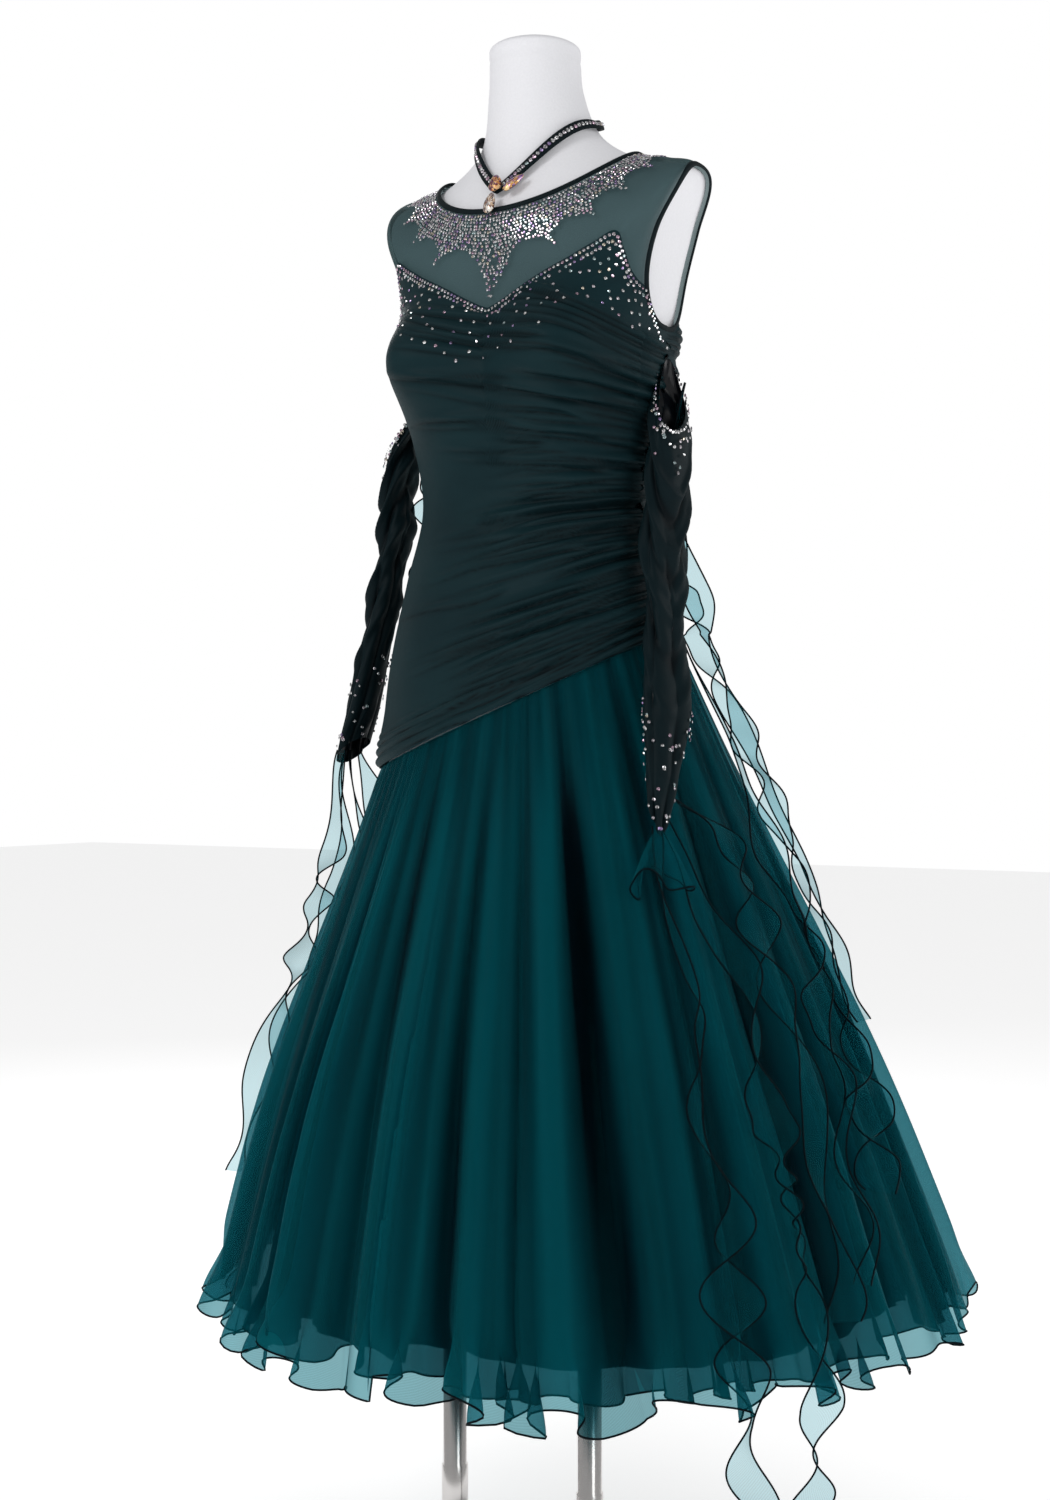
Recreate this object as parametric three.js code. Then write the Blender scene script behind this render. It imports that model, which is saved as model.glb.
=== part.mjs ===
// Ballroom dance dress on a limbless dress form and its stand, in millimetres, +Z up.
// The wearer faces -Y and the wearer's left is +X. The origin is the middle of the stand's underside.
import * as THREE from "three";

// ---------------------------------------------------------------- driving dimensions
const CLOTH = 1.5; // wall of jersey, mesh and organza
const SEAM = 0.3; // gap between pieces at a seam
const FORM_INSET = 5; // the form lies this far under the bodice

const NECKLINE_V = 3; // ring of the neck edge, in rows of RINGS
const SHOULDER_TIP_V = 5;
const UNDERARM_V = 8;
const FORM_BOTTOM_V = 15;

const BUST = { x: 84, z: 1384, spreadX: 38, spreadZ: 42, height: 40, outward: 0.45 };
const ARMHOLE = { front: 19, back: 23, side: 90, perV: { top: 33, bottom: 66 }, perDegree: 3 };
const BINDING = 9; // finished width of the neck and armhole bindings
const SLANT = { middle: 1005, rise: 75, turn: 20 }; // slanted lower edge of the bodice
const SKIRT_DROP = 1; // the skirt's top edge lies this far below the bodice's edge

const FOLDS = 24;
const FOLD_STEPS = 4; // columns in one fold
const SKIRT_CENTRE = new THREE.Vector2(30, 100); // middle of the hem, towards the back left

const STAND = { plateRadius: 210, plate: 12, pole: 15, spread: 89, lip: 3 };

// ---------------------------------------------------------------- tables
const table = (columns, rows) =>
  rows.map((row) => Object.fromEntries(columns.map((name, i) => [name, row[i]])));

// Rings of the body from the top of the neck down. A ring is level below the bust; above it, its
// front, side and back lie at different heights. square is the exponent of its superellipse.
const RINGS = table(
  ["zFront", "zSide", "zBack", "halfWidth", "ySide", "yFront", "yBack", "square"],
  [
    [1738, 1738, 1738, 56, 30, -27, 87, 2], // top of the neck
    [1690, 1692, 1694, 58, 33, -26, 92, 2], // neck
    [1608, 1644, 1656, 74, 45, -30, 114, 2], // root of the neck
    [1541, 1610, 1628, 125, 50, -55, 136, 2.1], // neckline
    [1512, 1601, 1592, 161, 53, -58, 148, 2.4], // middle of the shoulder
    [1480, 1587, 1552, 194, 56, -57, 154, 2.7], // shoulder tip
    [1450, 1534, 1510, 177, 55, -61, 156, 2.7], // upper armhole
    [1426, 1473, 1466, 165, 50, -67, 152, 2.5], // lower armhole
    [1400, 1414, 1420, 160, 43, -73, 146, 2.4], // underarm
    [1370, 1362, 1375, 158, 38, -75, 138, 2.3], // bust
    [1305, 1300, 1305, 147, 31, -68, 122, 2.1], // under the bust
    [1222, 1222, 1222, 135, 23, -63, 108, 2], // waist
    [1140, 1140, 1140, 152, 20, -82, 122, 2], // high hip
    [1050, 1050, 1050, 171, 20, -100, 140, 2], // hip
    [965, 965, 965, 180, 20, -108, 148, 2], // low hip
    [890, 890, 890, 176, 20, -106, 144, 2], // bottom of the form
  ],
);

// Upper edge of the jersey: angle from the front, and height.
const SWEETHEART = table(
  ["angle", "z"],
  [
    [0, 1432], // dip between the cups
    [12, 1461],
    [23, 1480],
    [32, 1494],
    [41, 1505], // peak of a cup
    [50, 1490],
    [62, 1462],
  ],
);

// Upper edge of the jersey behind, from the armhole to the back's middle.
const BACK_EDGE = table(
  ["angle", "z"],
  [
    [116, 1424],
    [150, 1424],
    [180, 1424],
  ],
);

// The skirt's layers, outermost first. reach is the radius of the hem, lift its height.
const LAYERS = table(
  ["name", "reach", "lift", "depth", "offset", "gores"],
  [
    ["skirt_outer", 416, 316, 20, 4.4, 8],
    ["skirt_under", 392, 334, 16, 2.2, 6],
  ],
);
const LINING = { reach: 356, lift: 350, offset: 0, gores: 4, columns: 32 };
const RIGHT_RISE = 18; // the hems rise this much at the wearer's right

// Sleeves hang outside the body. across runs along the body's side, through is their thickness.
const SLEEVE_LEFT = table(
  ["z", "x", "y", "across", "through"],
  [
    [1378, 171, 31, 9, 5],
    [1300, 177, 22, 26, 15],
    [1190, 181, 3, 27, 15],
    [1080, 197, -26, 30, 15],
    [960, 222, -66, 26, 13],
    [862, 232, -108, 9, 7],
  ],
);
const SLEEVE_RIGHT = table(
  ["z", "x", "y", "across", "through"],
  [
    [1366, -176, 44, 9, 5],
    [1290, -192, 38, 22, 13],
    [1190, -196, 30, 22, 14],
    [1080, -214, 22, 23, 14],
    [1000, -230, 16, 24, 13],
    [935, -246, 12, 26, 10],
  ],
);
const SLEEVES = {
  left: { path: SLEEVE_LEFT, rimDroop: 84, cuffPoint: 60, columns: 12, rows: 7 },
  right: { path: SLEEVE_RIGHT, rimDroop: 70, cuffPoint: 30, columns: 12, rows: 7 },
};

// Floats: spiral-cut organza strips. Angles are round the body from the front, clear is how far the
// strip's axis stands off the cloth behind it at its two ends, and reach is half the strip's width.
const FLOATS = table(
  ["name", "zTop", "angleTop", "clearTop", "zEnd", "angleEnd", "clearEnd", "reach", "turns", "phase"],
  [
    ["float_left_1", 1330, 112, 38, 500, 82, 24, 16, 3.5, 0],
    ["float_left_2", 1230, 128, 26, 660, 98, 24, 15, 2.5, 90],
    ["float_left_3", 1050, 95, 30, 420, 73.5, 22, 16, 2.5, 200],
    ["float_left_4", 930, 79, 26, 390, 65.5, 22, 16, 2.5, 40],
    ["float_left_5", 850, 65, 24, 200, 57.5, 22, 16, 2.5, 150],
    ["float_left_6", 800, 52, 24, 160, 49.5, 22, 16, 2.5, 260],
    ["float_right_1", 1320, -112, 34, 960, -112, 38, 15, 2, 30],
    ["float_right_2", 925, -104, 30, 420, -98, 24, 16, 2, 240],
    ["float_right_3", 905, -92, 24, 520, -89, 22, 15, 2, 330],
    ["float_right_4", 895, -80, 24, 290, -80, 22, 16, 2.5, 60],
    ["float_right_5", 895, -67, 24, 450, -70, 22, 15, 2, 180],
  ],
);
const FLOAT_STEPS_PER_TURN = 7;

// ---------------------------------------------------------------- small maths
const radians = THREE.MathUtils.degToRad;
const mix = THREE.MathUtils.lerp;
const clamp = THREE.MathUtils.clamp;
const smooth = (t) => t * t * (3 - 2 * t);

// Catmull-Rom value of one column at row v, whole rows being the table's own.
function column(rows, name, v) {
  const last = rows.length - 1;
  const i = clamp(Math.floor(v), 0, last - 1);
  const t = clamp(v - i, 0, 1);
  const at = (k) => rows[clamp(k, 0, last)][name];
  const [a, b, c, d] = [at(i - 1), at(i), at(i + 1), at(i + 2)];
  const slopeB = (c - a) / 2;
  const slopeC = (d - b) / 2;
  const [t2, t3] = [t * t, t * t * t];
  return (
    b * (2 * t3 - 3 * t2 + 1) + slopeB * (t3 - 2 * t2 + t) +
    c * (3 * t2 - 2 * t3) + slopeC * (t3 - t2)
  );
}

// Smooth value of a column against another that runs steadily up or down the table.
function lookUp(rows, key, name, value) {
  const last = rows.length - 1;
  const rising = rows[last][key] > rows[0][key];
  let i = 0;
  while (i < last - 1 && (rising ? value > rows[i + 1][key] : value < rows[i + 1][key])) i += 1;
  const t = clamp((value - rows[i][key]) / (rows[i + 1][key] - rows[i][key]), 0, 1);
  return column(rows, name, i + t);
}

// ---------------------------------------------------------------- the body's surface
const power = (value, exponent) => Math.sign(value) * Math.abs(value) ** exponent;

// Point of the body at an angle from the front (degrees, towards the wearer's left) and ring v.
function bodyPoint(angle, v) {
  const ring = (name) => column(RINGS, name, v);
  const [sine, cosine] = [Math.sin(radians(angle)), Math.cos(radians(angle))];
  const exponent = 2 / ring("square");
  const ySide = ring("ySide");
  const depth = cosine > 0 ? ySide - ring("yFront") : ring("yBack") - ySide;
  const zEnd = cosine > 0 ? ring("zFront") : ring("zBack");
  const point = new THREE.Vector3(
    ring("halfWidth") * power(sine, exponent),
    ySide - depth * power(cosine, exponent),
    mix(ring("zSide"), zEnd, Math.abs(cosine) ** (cosine > 0 ? 1.4 : 2)),
  );
  if (cosine > 0) {
    const across = (Math.abs(point.x) - BUST.x) / BUST.spreadX;
    const along = (point.z - BUST.z) / BUST.spreadZ;
    const swell = BUST.height * Math.exp(-(across * across + along * along) / 2);
    point.x += Math.sign(point.x) * BUST.outward * swell * Math.min(1, Math.abs(point.x) / BUST.x);
    point.y -= swell;
  }
  return point;
}

// The same point moved out along the surface's normal.
function onBody(angle, v, out = 0) {
  const point = bodyPoint(angle, v);
  if (out === 0) return point;
  const step = { angle: 1, v: 0.02 };
  const round = bodyPoint(angle + step.angle, v).sub(bodyPoint(angle - step.angle, v));
  const down = bodyPoint(angle, v + step.v).sub(bodyPoint(angle, v - step.v));
  return point.addScaledVector(down.cross(round).normalize(), out);
}

// The ring at which the body has height z at this angle, found by halving.
function ringAt(angle, z) {
  let [above, below] = [1, FORM_BOTTOM_V];
  for (let k = 0; k < 30; k += 1) {
    const middle = (above + below) / 2;
    if (bodyPoint(angle, middle).z > z) above = middle;
    else below = middle;
  }
  return (above + below) / 2;
}

const slantHeight = (angle) => SLANT.middle + SLANT.rise * Math.sin(radians(angle - SLANT.turn));

// How far the bodice stands off the body: snug above the hip, over the skirt's layers at its hem.
function bodiceOffset(angle, v) {
  const over = (bodyPoint(angle, v).z - slantHeight(angle)) / 70;
  return mix(6.9, 0, smooth(clamp(over, 0, 1)));
}

// Edge of an armhole. turn goes from the shoulder tip (0) through the front to the underarm (180)
// and up the back; grow moves the edge out over the cloth. side is +1 for the wearer's left.
function armholeEdge(turn, grow, side) {
  const top = SHOULDER_TIP_V - grow / ARMHOLE.perV.top;
  const bottom = UNDERARM_V + grow / ARMHOLE.perV.bottom;
  const half = (turn < 180 ? ARMHOLE.front : ARMHOLE.back) + grow / ARMHOLE.perDegree;
  return {
    angle: side * (ARMHOLE.side - half * Math.sin(radians(turn))),
    v: mix(top, bottom, (1 - Math.cos(radians(turn))) / 2),
  };
}

// ---------------------------------------------------------------- turning grids into solids
function solid(points, faces) {
  const volume = faces.reduce(
    (sum, [a, b, c]) => sum + points[a].dot(points[b].clone().cross(points[c])),
    0,
  );
  const index = faces.flatMap(([a, b, c]) => (volume > 0 ? [a, b, c] : [a, c, b]));
  return new THREE.BufferGeometry().setFromPoints(points).setIndex(index);
}

// A wall of cloth over a grid: place(u, w, out) gives a point, with u and w from 0 to 1 and out
// the distance from the wall's inner face. A loop closes on itself in u.
function wall(columns, rows, place, { thickness = CLOTH, loop = false } = {}) {
  const wide = loop ? columns : columns + 1;
  const points = [];
  for (const out of [0, thickness])
    for (let j = 0; j <= rows; j += 1)
      for (let i = 0; i < wide; i += 1) points.push(place(i / columns, j / rows, out));
  const id = (face, i, j) => (face * (rows + 1) + j) * wide + (i % wide);
  const faces = [];
  const quad = (a, b, c, d) => faces.push([a, b, c], [a, c, d]);
  for (let i = 0; i < columns; i += 1) {
    for (let j = 0; j < rows; j += 1) {
      quad(id(1, i, j), id(1, i, j + 1), id(1, i + 1, j + 1), id(1, i + 1, j));
      quad(id(0, i, j), id(0, i + 1, j), id(0, i + 1, j + 1), id(0, i, j + 1));
    }
    quad(id(0, i, 0), id(1, i, 0), id(1, i + 1, 0), id(0, i + 1, 0));
    quad(id(0, i, rows), id(0, i + 1, rows), id(1, i + 1, rows), id(1, i, rows));
  }
  if (!loop)
    for (let j = 0; j < rows; j += 1) {
      quad(id(0, 0, j), id(0, 0, j + 1), id(1, 0, j + 1), id(1, 0, j));
      quad(id(0, columns, j), id(1, columns, j), id(1, columns, j + 1), id(0, columns, j + 1));
    }
  return solid(points, faces);
}

// A closed body through rings: place(u, w) gives a point, and each end is closed to its middle.
function loft(columns, rows, place) {
  const points = [];
  for (let j = 0; j <= rows; j += 1)
    for (let i = 0; i < columns; i += 1) points.push(place(i / columns, j / rows));
  const id = (i, j) => j * columns + (i % columns);
  const faces = [];
  for (let i = 0; i < columns; i += 1)
    for (let j = 0; j < rows; j += 1)
      faces.push(
        [id(i, j), id(i, j + 1), id(i + 1, j + 1)],
        [id(i, j), id(i + 1, j + 1), id(i + 1, j)],
      );
  for (const j of [0, rows]) {
    const middle = new THREE.Vector3();
    for (let i = 0; i < columns; i += 1) middle.addScaledVector(points[id(i, j)], 1 / columns);
    const tip = points.push(middle) - 1;
    for (let i = 0; i < columns; i += 1)
      faces.push(j === 0 ? [tip, id(i, j), id(i + 1, j)] : [tip, id(i + 1, j), id(i, j)]);
  }
  return solid(points, faces);
}

// ---------------------------------------------------------------- finishes
const finish = (color, roughness, metalness = 0) =>
  new THREE.MeshStandardMaterial({ color, roughness, metalness });
const JERSEY = finish(0x16343a, 0.62);
const MESH = finish(0x274b50, 0.7);
const ORGANZA = finish(0x06474f, 0.5);
const SATIN = finish(0x04161f, 0.45);
const LINEN = finish(0xe4e4e8, 0.9);
const STEEL = finish(0xa8a29c, 0.25, 1);
const PLATE = finish(0xd9d9dc, 0.4, 0.6);
const CRYSTAL = finish(0xc98a5a, 0.08, 0.3);

const dress = new THREE.Group();
function add(name, geometry, material) {
  const mesh = new THREE.Mesh(geometry, material);
  mesh.name = name;
  dress.add(mesh);
  return mesh;
}

// ---------------------------------------------------------------- dress form and stand
function makeForm() {
  const [columns, rows] = [40, 30];
  const shape = (u, w) => onBody(360 * u, FORM_BOTTOM_V * w, w > 0 && w < 1 ? -FORM_INSET : 0);
  const level = (point, z) => new THREE.Vector3(point.x, point.y, z);
  const place = (u, w) => {
    const point = shape(u, w);
    if (w === 0) return level(point, RINGS[0].zSide).lerp(new THREE.Vector3(0, 45, 1752), 0.3);
    return w === 1 ? level(point, RINGS[FORM_BOTTOM_V].zSide) : point;
  };
  add("form_torso", loft(columns, rows, place), LINEN);
}

function makeStand() {
  const plate = new THREE.CylinderGeometry(
    STAND.plateRadius - STAND.lip, STAND.plateRadius, STAND.plate, 48,
  );
  plate.rotateX(Math.PI / 2);
  add("stand_plate", plate, PLATE).position.z = STAND.plate / 2;
  const foot = STAND.plate + SEAM;
  const top = RINGS[FORM_BOTTOM_V].zSide - SEAM;
  for (const [side, x] of [["left", STAND.spread], ["right", -STAND.spread]]) {
    const pole = new THREE.CylinderGeometry(STAND.pole, STAND.pole, top - foot, 24);
    pole.rotateX(Math.PI / 2);
    add(`stand_pole_${side}`, pole, STEEL).position.set(x, 0, (top + foot) / 2);
  }
}

// ---------------------------------------------------------------- seams of the bodice
const SEAM_V = 0.012; // a seam's gap in rings, at the neckline
const SEAM_ANGLE = 0.12; // a seam's gap in degrees
const ARMHOLE_COLUMNS = 24; // columns round a whole armhole

// Turns round the armhole at which the jersey's edge, front and back, meets the binding.
// columns is the count along that edge, and spread the angle its last grid line has at the neck.
const FRONT = {
  join: 120, middle: 0, edge: SWEETHEART, columns: 8, spread: 56, bend: 2.6, shoulder: 0,
};
const BACK = {
  join: 210, middle: 180, edge: BACK_EDGE, columns: 5, spread: 150, bend: 3, shoulder: 360,
};

// The jersey's upper edge reaches the armhole where its binding's outer edge is.
for (const part of [FRONT, BACK]) {
  const meet = armholeEdge(part.join, BINDING + SEAM, 1);
  part.meet = { angle: meet.angle, z: bodyPoint(meet.angle, meet.v).z };
  part.edge = part === FRONT ? [...part.edge, part.meet] : [part.meet, ...part.edge];
}

// Grid column i along the edge between the yoke and the jersey, then on round the armhole towards
// lastTurn. gap moves the point off the seam, in rings.
function edgeColumn(i, part, lastTurn, gap) {
  if (i < part.columns) {
    const angle = mix(part.middle, part.meet.angle, i / part.columns);
    return { angle, v: ringAt(angle, lookUp(part.edge, "angle", "z", angle)) + gap };
  }
  const step = (360 / ARMHOLE_COLUMNS) * Math.sign(lastTurn - part.join);
  const { angle, v } = armholeEdge(part.join + step * (i - part.columns), BINDING + SEAM, 1);
  return { angle, v: v + (i === part.columns ? 0.25 * gap : 0) };
}
const edgeColumns = (part, lastTurn) =>
  part.columns + (Math.abs(lastTurn - part.join) * ARMHOLE_COLUMNS) / 360;

// ---------------------------------------------------------------- yoke and bindings
// A point of the yoke on grid line i, with w from the neck binding (0) to the yoke's outer edge (1).
function yokePoint(i, w, part) {
  const columns = edgeColumns(part, part.shoulder);
  const outer = edgeColumn(i, part, part.shoulder, -SEAM_V);
  const side = part === FRONT ? 90 - SEAM_ANGLE : 90 + SEAM_ANGLE;
  const inner =
    i <= part.columns
      ? mix(part.middle, part.spread, i / part.columns)
      : mix(part.spread, side, (i - part.columns) / (columns - part.columns));
  return {
    angle: i === columns ? side : mix(inner, outer.angle, w ** part.bend), // skirts the armhole
    v: mix(NECKLINE_V + SEAM_V, outer.v, w),
  };
}

function makeYoke() {
  const rows = 6;
  const front = edgeColumns(FRONT, FRONT.shoulder);
  add(
    "yoke_front",
    wall(2 * front, rows, (u, w, out) => {
      const i = Math.round(front * (2 * u - 1));
      const { angle, v } = yokePoint(Math.abs(i), w, FRONT);
      return onBody(Math.sign(i) * angle, v, out);
    }),
    MESH,
  );
  const back = edgeColumns(BACK, BACK.shoulder);
  for (const [name, side] of [["yoke_back_left", 1], ["yoke_back_right", -1]])
    add(
      name,
      wall(back, rows, (u, w, out) => {
        const { angle, v } = yokePoint(Math.round(back * u), w, BACK);
        return onBody(side * Math.min(angle, 180 - SEAM_ANGLE), v, out);
      }),
      MESH,
    );
}

function makeBindings() {
  const wide = 0.17; // width of the neck binding in rings
  add(
    "neck_binding",
    wall(40, 1, (u, w, out) => onBody(360 * u, NECKLINE_V - wide * (1 - w), out), {
      loop: true,
      thickness: 2,
    }),
    JERSEY,
  );
  for (const [name, side] of [["armhole_binding_left", 1], ["armhole_binding_right", -1]])
    add(
      name,
      wall(ARMHOLE_COLUMNS, 1, (u, w, out) => {
        const { angle, v } = armholeEdge(360 * u, BINDING * w, side);
        return onBody(angle, v, out);
      }, { loop: true, thickness: 2 }),
      JERSEY,
    );
}

// ---------------------------------------------------------------- jersey bodice
// A point of the bodice on grid line i, on the side given by side (+1 is the wearer's left).
function bodicePoint(i, w, out, part, side) {
  const top = edgeColumn(i, part, 180, SEAM_V);
  const columns = edgeColumns(part, 180);
  const seam = part === FRONT ? 90 - SEAM_ANGLE : 90 + SEAM_ANGLE;
  const start = part === FRONT ? 0 : 180 - SEAM_ANGLE;
  const bottomAngle = side * mix(start, seam, i / columns);
  const topAngle = side * (i === columns ? seam : i === 0 ? start : top.angle);
  const bottom = ringAt(bottomAngle, slantHeight(bottomAngle));
  const angle = mix(topAngle, bottomAngle, w);
  const v = mix(top.v, bottom, w);
  return onBody(angle, v, bodiceOffset(angle, v) + out);
}

function makeBodice() {
  const rows = 10;
  const front = edgeColumns(FRONT, 180);
  add(
    "bodice_front",
    wall(2 * front, rows, (u, w, out) => {
      const i = Math.round(front * (2 * u - 1));
      return bodicePoint(Math.abs(i), w, out, FRONT, Math.sign(i) || 1);
    }),
    JERSEY,
  );
  const back = edgeColumns(BACK, 180);
  for (const [name, side] of [["bodice_back_left", 1], ["bodice_back_right", -1]])
    add(
      name,
      wall(back, rows, (u, w, out) => bodicePoint(Math.round(back * u), w, out, BACK, side)),
      JERSEY,
    );
}

// ---------------------------------------------------------------- skirt
// Crest angles of the folds: evenly spread and then pushed about, so that no two are alike.
const crest = (k) => (360 / FOLDS) * (k + 0.22 * Math.sin(2.4 * k) + 0.12 * Math.sin(5.1 * k + 1));
const foldDepth = (k) => 0.78 + 0.22 * Math.sin(1.7 * k + 0.6);

// Column i of a folded layer, FOLD_STEPS to a fold: its angle and its push in or out.
function foldColumn(i) {
  const count = FOLDS * FOLD_STEPS;
  const k = Math.floor(i / FOLD_STEPS);
  const share = i / FOLD_STEPS - k;
  const next = k + 1 < FOLDS ? crest(k + 1) : 360 + crest(0);
  return {
    angle: mix(crest(k % FOLDS), next, share) + (i >= count ? 360 : 0),
    push: Math.cos(2 * Math.PI * share) * mix(foldDepth(k), foldDepth((k + 1) % FOLDS), share),
  };
}

// A point of a skirt layer: a straight fall from under the bodice's edge to the hem's circle.
function skirtPoint(angle, push, w, { reach, lift, depth, offset }, out) {
  const start = ringAt(angle, slantHeight(angle) - SKIRT_DROP);
  const top = onBody(angle, start, offset + out);
  const direction = new THREE.Vector2(Math.sin(radians(angle)), -Math.cos(radians(angle)));
  const radius = reach + out;
  const hem = new THREE.Vector3(
    SKIRT_CENTRE.x + radius * direction.x,
    SKIRT_CENTRE.y + radius * direction.y,
    lift + RIGHT_RISE * Math.max(0, -direction.x),
  );
  const fold = push * depth * smooth(clamp((w - 0.04) / 0.9, 0, 1));
  const swell = 10 * Math.sin(Math.PI * w);
  return top.lerp(hem, w).add(new THREE.Vector3(direction.x, direction.y, 0)
    .multiplyScalar(fold + swell));
}

function makeSkirt() {
  const total = FOLDS * FOLD_STEPS;
  for (const layer of LAYERS) {
    const columns = total / layer.gores;
    for (let gore = 0; gore < layer.gores; gore += 1)
      add(
        `${layer.name}_${gore + 1}`,
        wall(columns, 3, (u, w, out) => {
          const { angle, push } = foldColumn((gore + u) * columns);
          const inset = u === 0 ? SEAM_ANGLE : u === 1 ? -SEAM_ANGLE : 0;
          return skirtPoint(angle + inset * mix(1, 0.4, w), push, w, layer, out);
        }, { thickness: 1 }),
        ORGANZA,
      );
  }
  for (let gore = 0; gore < LINING.gores; gore += 1)
    add(
      `skirt_lining_${gore + 1}`,
      wall(LINING.columns / LINING.gores, 2, (u, w, out) => {
        const span = 360 / LINING.gores;
        const inset = u === 0 ? SEAM_ANGLE : u === 1 ? -SEAM_ANGLE : 0;
        const angle = span * (gore + u) + inset * mix(1, 0.4, w);
        return skirtPoint(angle, 0, w, { ...LINING, depth: 0 }, out);
      }, { thickness: 1 }),
      SATIN,
    );
}

// ---------------------------------------------------------------- sleeves
// A hanging sleeve is a flattened tube round its path. Its rim droops open to the outside, and
// its cuff falls to a point. u goes round the tube from the side that faces the body.
function makeSleeve(name, side, { path, rimDroop, cuffPoint, columns, rows }) {
  const row = (key, z) => lookUp(path, "z", key, z);
  const [zTop, zEnd] = [path[0].z, path[path.length - 1].z];
  add(
    name,
    wall(columns, rows, (u, w, out) => {
      const turn = 2 * Math.PI * u;
      const outside = (1 - Math.cos(turn)) / 2;
      const rim = zTop - rimDroop * smooth(outside);
      const cuff = zEnd + cuffPoint * (1 - outside);
      const z = mix(rim, cuff, w);
      const lean = Math.atan2(row("y", z) - 40, row("x", z)); // direction away from the body
      const away = new THREE.Vector3(Math.cos(lean), Math.sin(lean), 0);
      const along = new THREE.Vector3(-away.y, away.x, 0);
      return new THREE.Vector3(row("x", z), row("y", z), z)
        .addScaledVector(away, -Math.cos(turn) * (row("through", z) + out))
        .addScaledVector(along, side * Math.sin(turn) * (row("across", z) + out));
    }, { loop: true, thickness: CLOTH }),
    JERSEY,
  );
}

// ---------------------------------------------------------------- floats
// The outside of the dress at an angle and height: the bodice, or the crests of the outer skirt.
function outside(angle, z) {
  const edge = slantHeight(angle);
  if (z >= edge) {
    const v = ringAt(angle, z);
    return onBody(angle, v, bodiceOffset(angle, v) + CLOTH);
  }
  const layer = LAYERS[0];
  const w = clamp((edge - z) / (edge - layer.lift), 0, 1);
  return skirtPoint(angle, 1, w, layer, CLOTH);
}

// A float is a strip wound about an axis that hangs down the outside of the dress.
function makeFloat({ name, reach, turns, phase, ...ends }) {
  const steps = Math.round(turns * FLOAT_STEPS_PER_TURN);
  add(
    name,
    wall(1, steps, (u, w, out) => {
      const z = mix(ends.zTop, ends.zEnd, w);
      const angle = mix(ends.angleTop, ends.angleEnd, w);
      const clear = mix(ends.clearTop, ends.clearEnd, w);
      const base = outside(angle, z);
      const away = new THREE.Vector3(Math.sin(radians(angle)), -Math.cos(radians(angle)), 0);
      const axis = new THREE.Vector3(base.x, base.y, z).addScaledVector(away, clear);
      const turn = radians(phase) + 2 * Math.PI * turns * w;
      const width = reach * mix(0.35, 1, smooth(Math.min(1, 6 * w)));
      const across = new THREE.Vector3(Math.cos(turn), Math.sin(turn), 0);
      const through = new THREE.Vector3(-Math.sin(turn), Math.cos(turn), 0);
      return axis.addScaledVector(across, (2 * u - 1) * width).addScaledVector(through, out);
    }, { thickness: 1 }),
    ORGANZA,
  );
}

// ---------------------------------------------------------------- neck band and its crystals
// The band rests behind on the neck and falls to a point in front, just above the neckline.
const BAND = { front: 1566, side: 1648, back: 1668, half: 0.09, lift: 1.2, thickness: 2 };
function bandRing(angle) {
  const [sine, cosine] = [Math.abs(Math.sin(radians(angle))), Math.cos(radians(angle))];
  const z = cosine > 0 ? mix(BAND.front, BAND.side, sine) : mix(BAND.side, BAND.back, -cosine);
  return ringAt(angle, z);
}

function makeNeckBand() {
  add(
    "neck_band",
    wall(40, 1, (u, w, out) => {
      const angle = 360 * u;
      return onBody(angle, bandRing(angle) + BAND.half * (2 * w - 1), BAND.lift + out);
    }, { loop: true, thickness: BAND.thickness }),
    JERSEY,
  );
  // length and width of the cut stone, its place from the band's middle, and its tilt.
  const stones = table(
    ["name", "long", "wide", "angle", "v", "out", "tilt"],
    [
      ["crystal_round", 18, 15, -2, 2.5, 8, 10],
      ["crystal_slanted", 22, 11, 14, 2.56, 8, -50],
      ["crystal_drop", 22, 14, -1, 2.91, 9, 0],
    ],
  );
  for (const { name, long, wide, angle, v, out, tilt } of stones) {
    const drop = new THREE.Shape();
    drop.moveTo(0, long / 2);
    drop.bezierCurveTo(wide / 3, long / 5, wide / 2, 0, wide / 2, -long / 5);
    drop.bezierCurveTo(wide / 2, -long / 2, -wide / 2, -long / 2, -wide / 2, -long / 5);
    drop.bezierCurveTo(-wide / 2, 0, -wide / 3, long / 5, 0, long / 2);
    const cut = new THREE.ExtrudeGeometry(drop, {
      depth: 1, bevelThickness: 2, bevelSize: 1.6, bevelOffset: -1.6, bevelSegments: 1,
      curveSegments: 6,
    });
    const mesh = add(name, cut, CRYSTAL);
    const seat = onBody(angle, v, out);
    const facing = onBody(angle, v, out + 10);
    mesh.up.set(0, 0, 1);
    mesh.position.copy(seat);
    mesh.lookAt(facing);
    mesh.rotateZ(radians(tilt));
  }
}

makeForm();
makeStand();
makeYoke();
makeBindings();
makeBodice();
makeSkirt();
makeSleeve("sleeve_left", 1, SLEEVES.left);
makeSleeve("sleeve_right", -1, SLEEVES.right);
FLOATS.forEach(makeFloat);
makeNeckBand();

export default dress;
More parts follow.
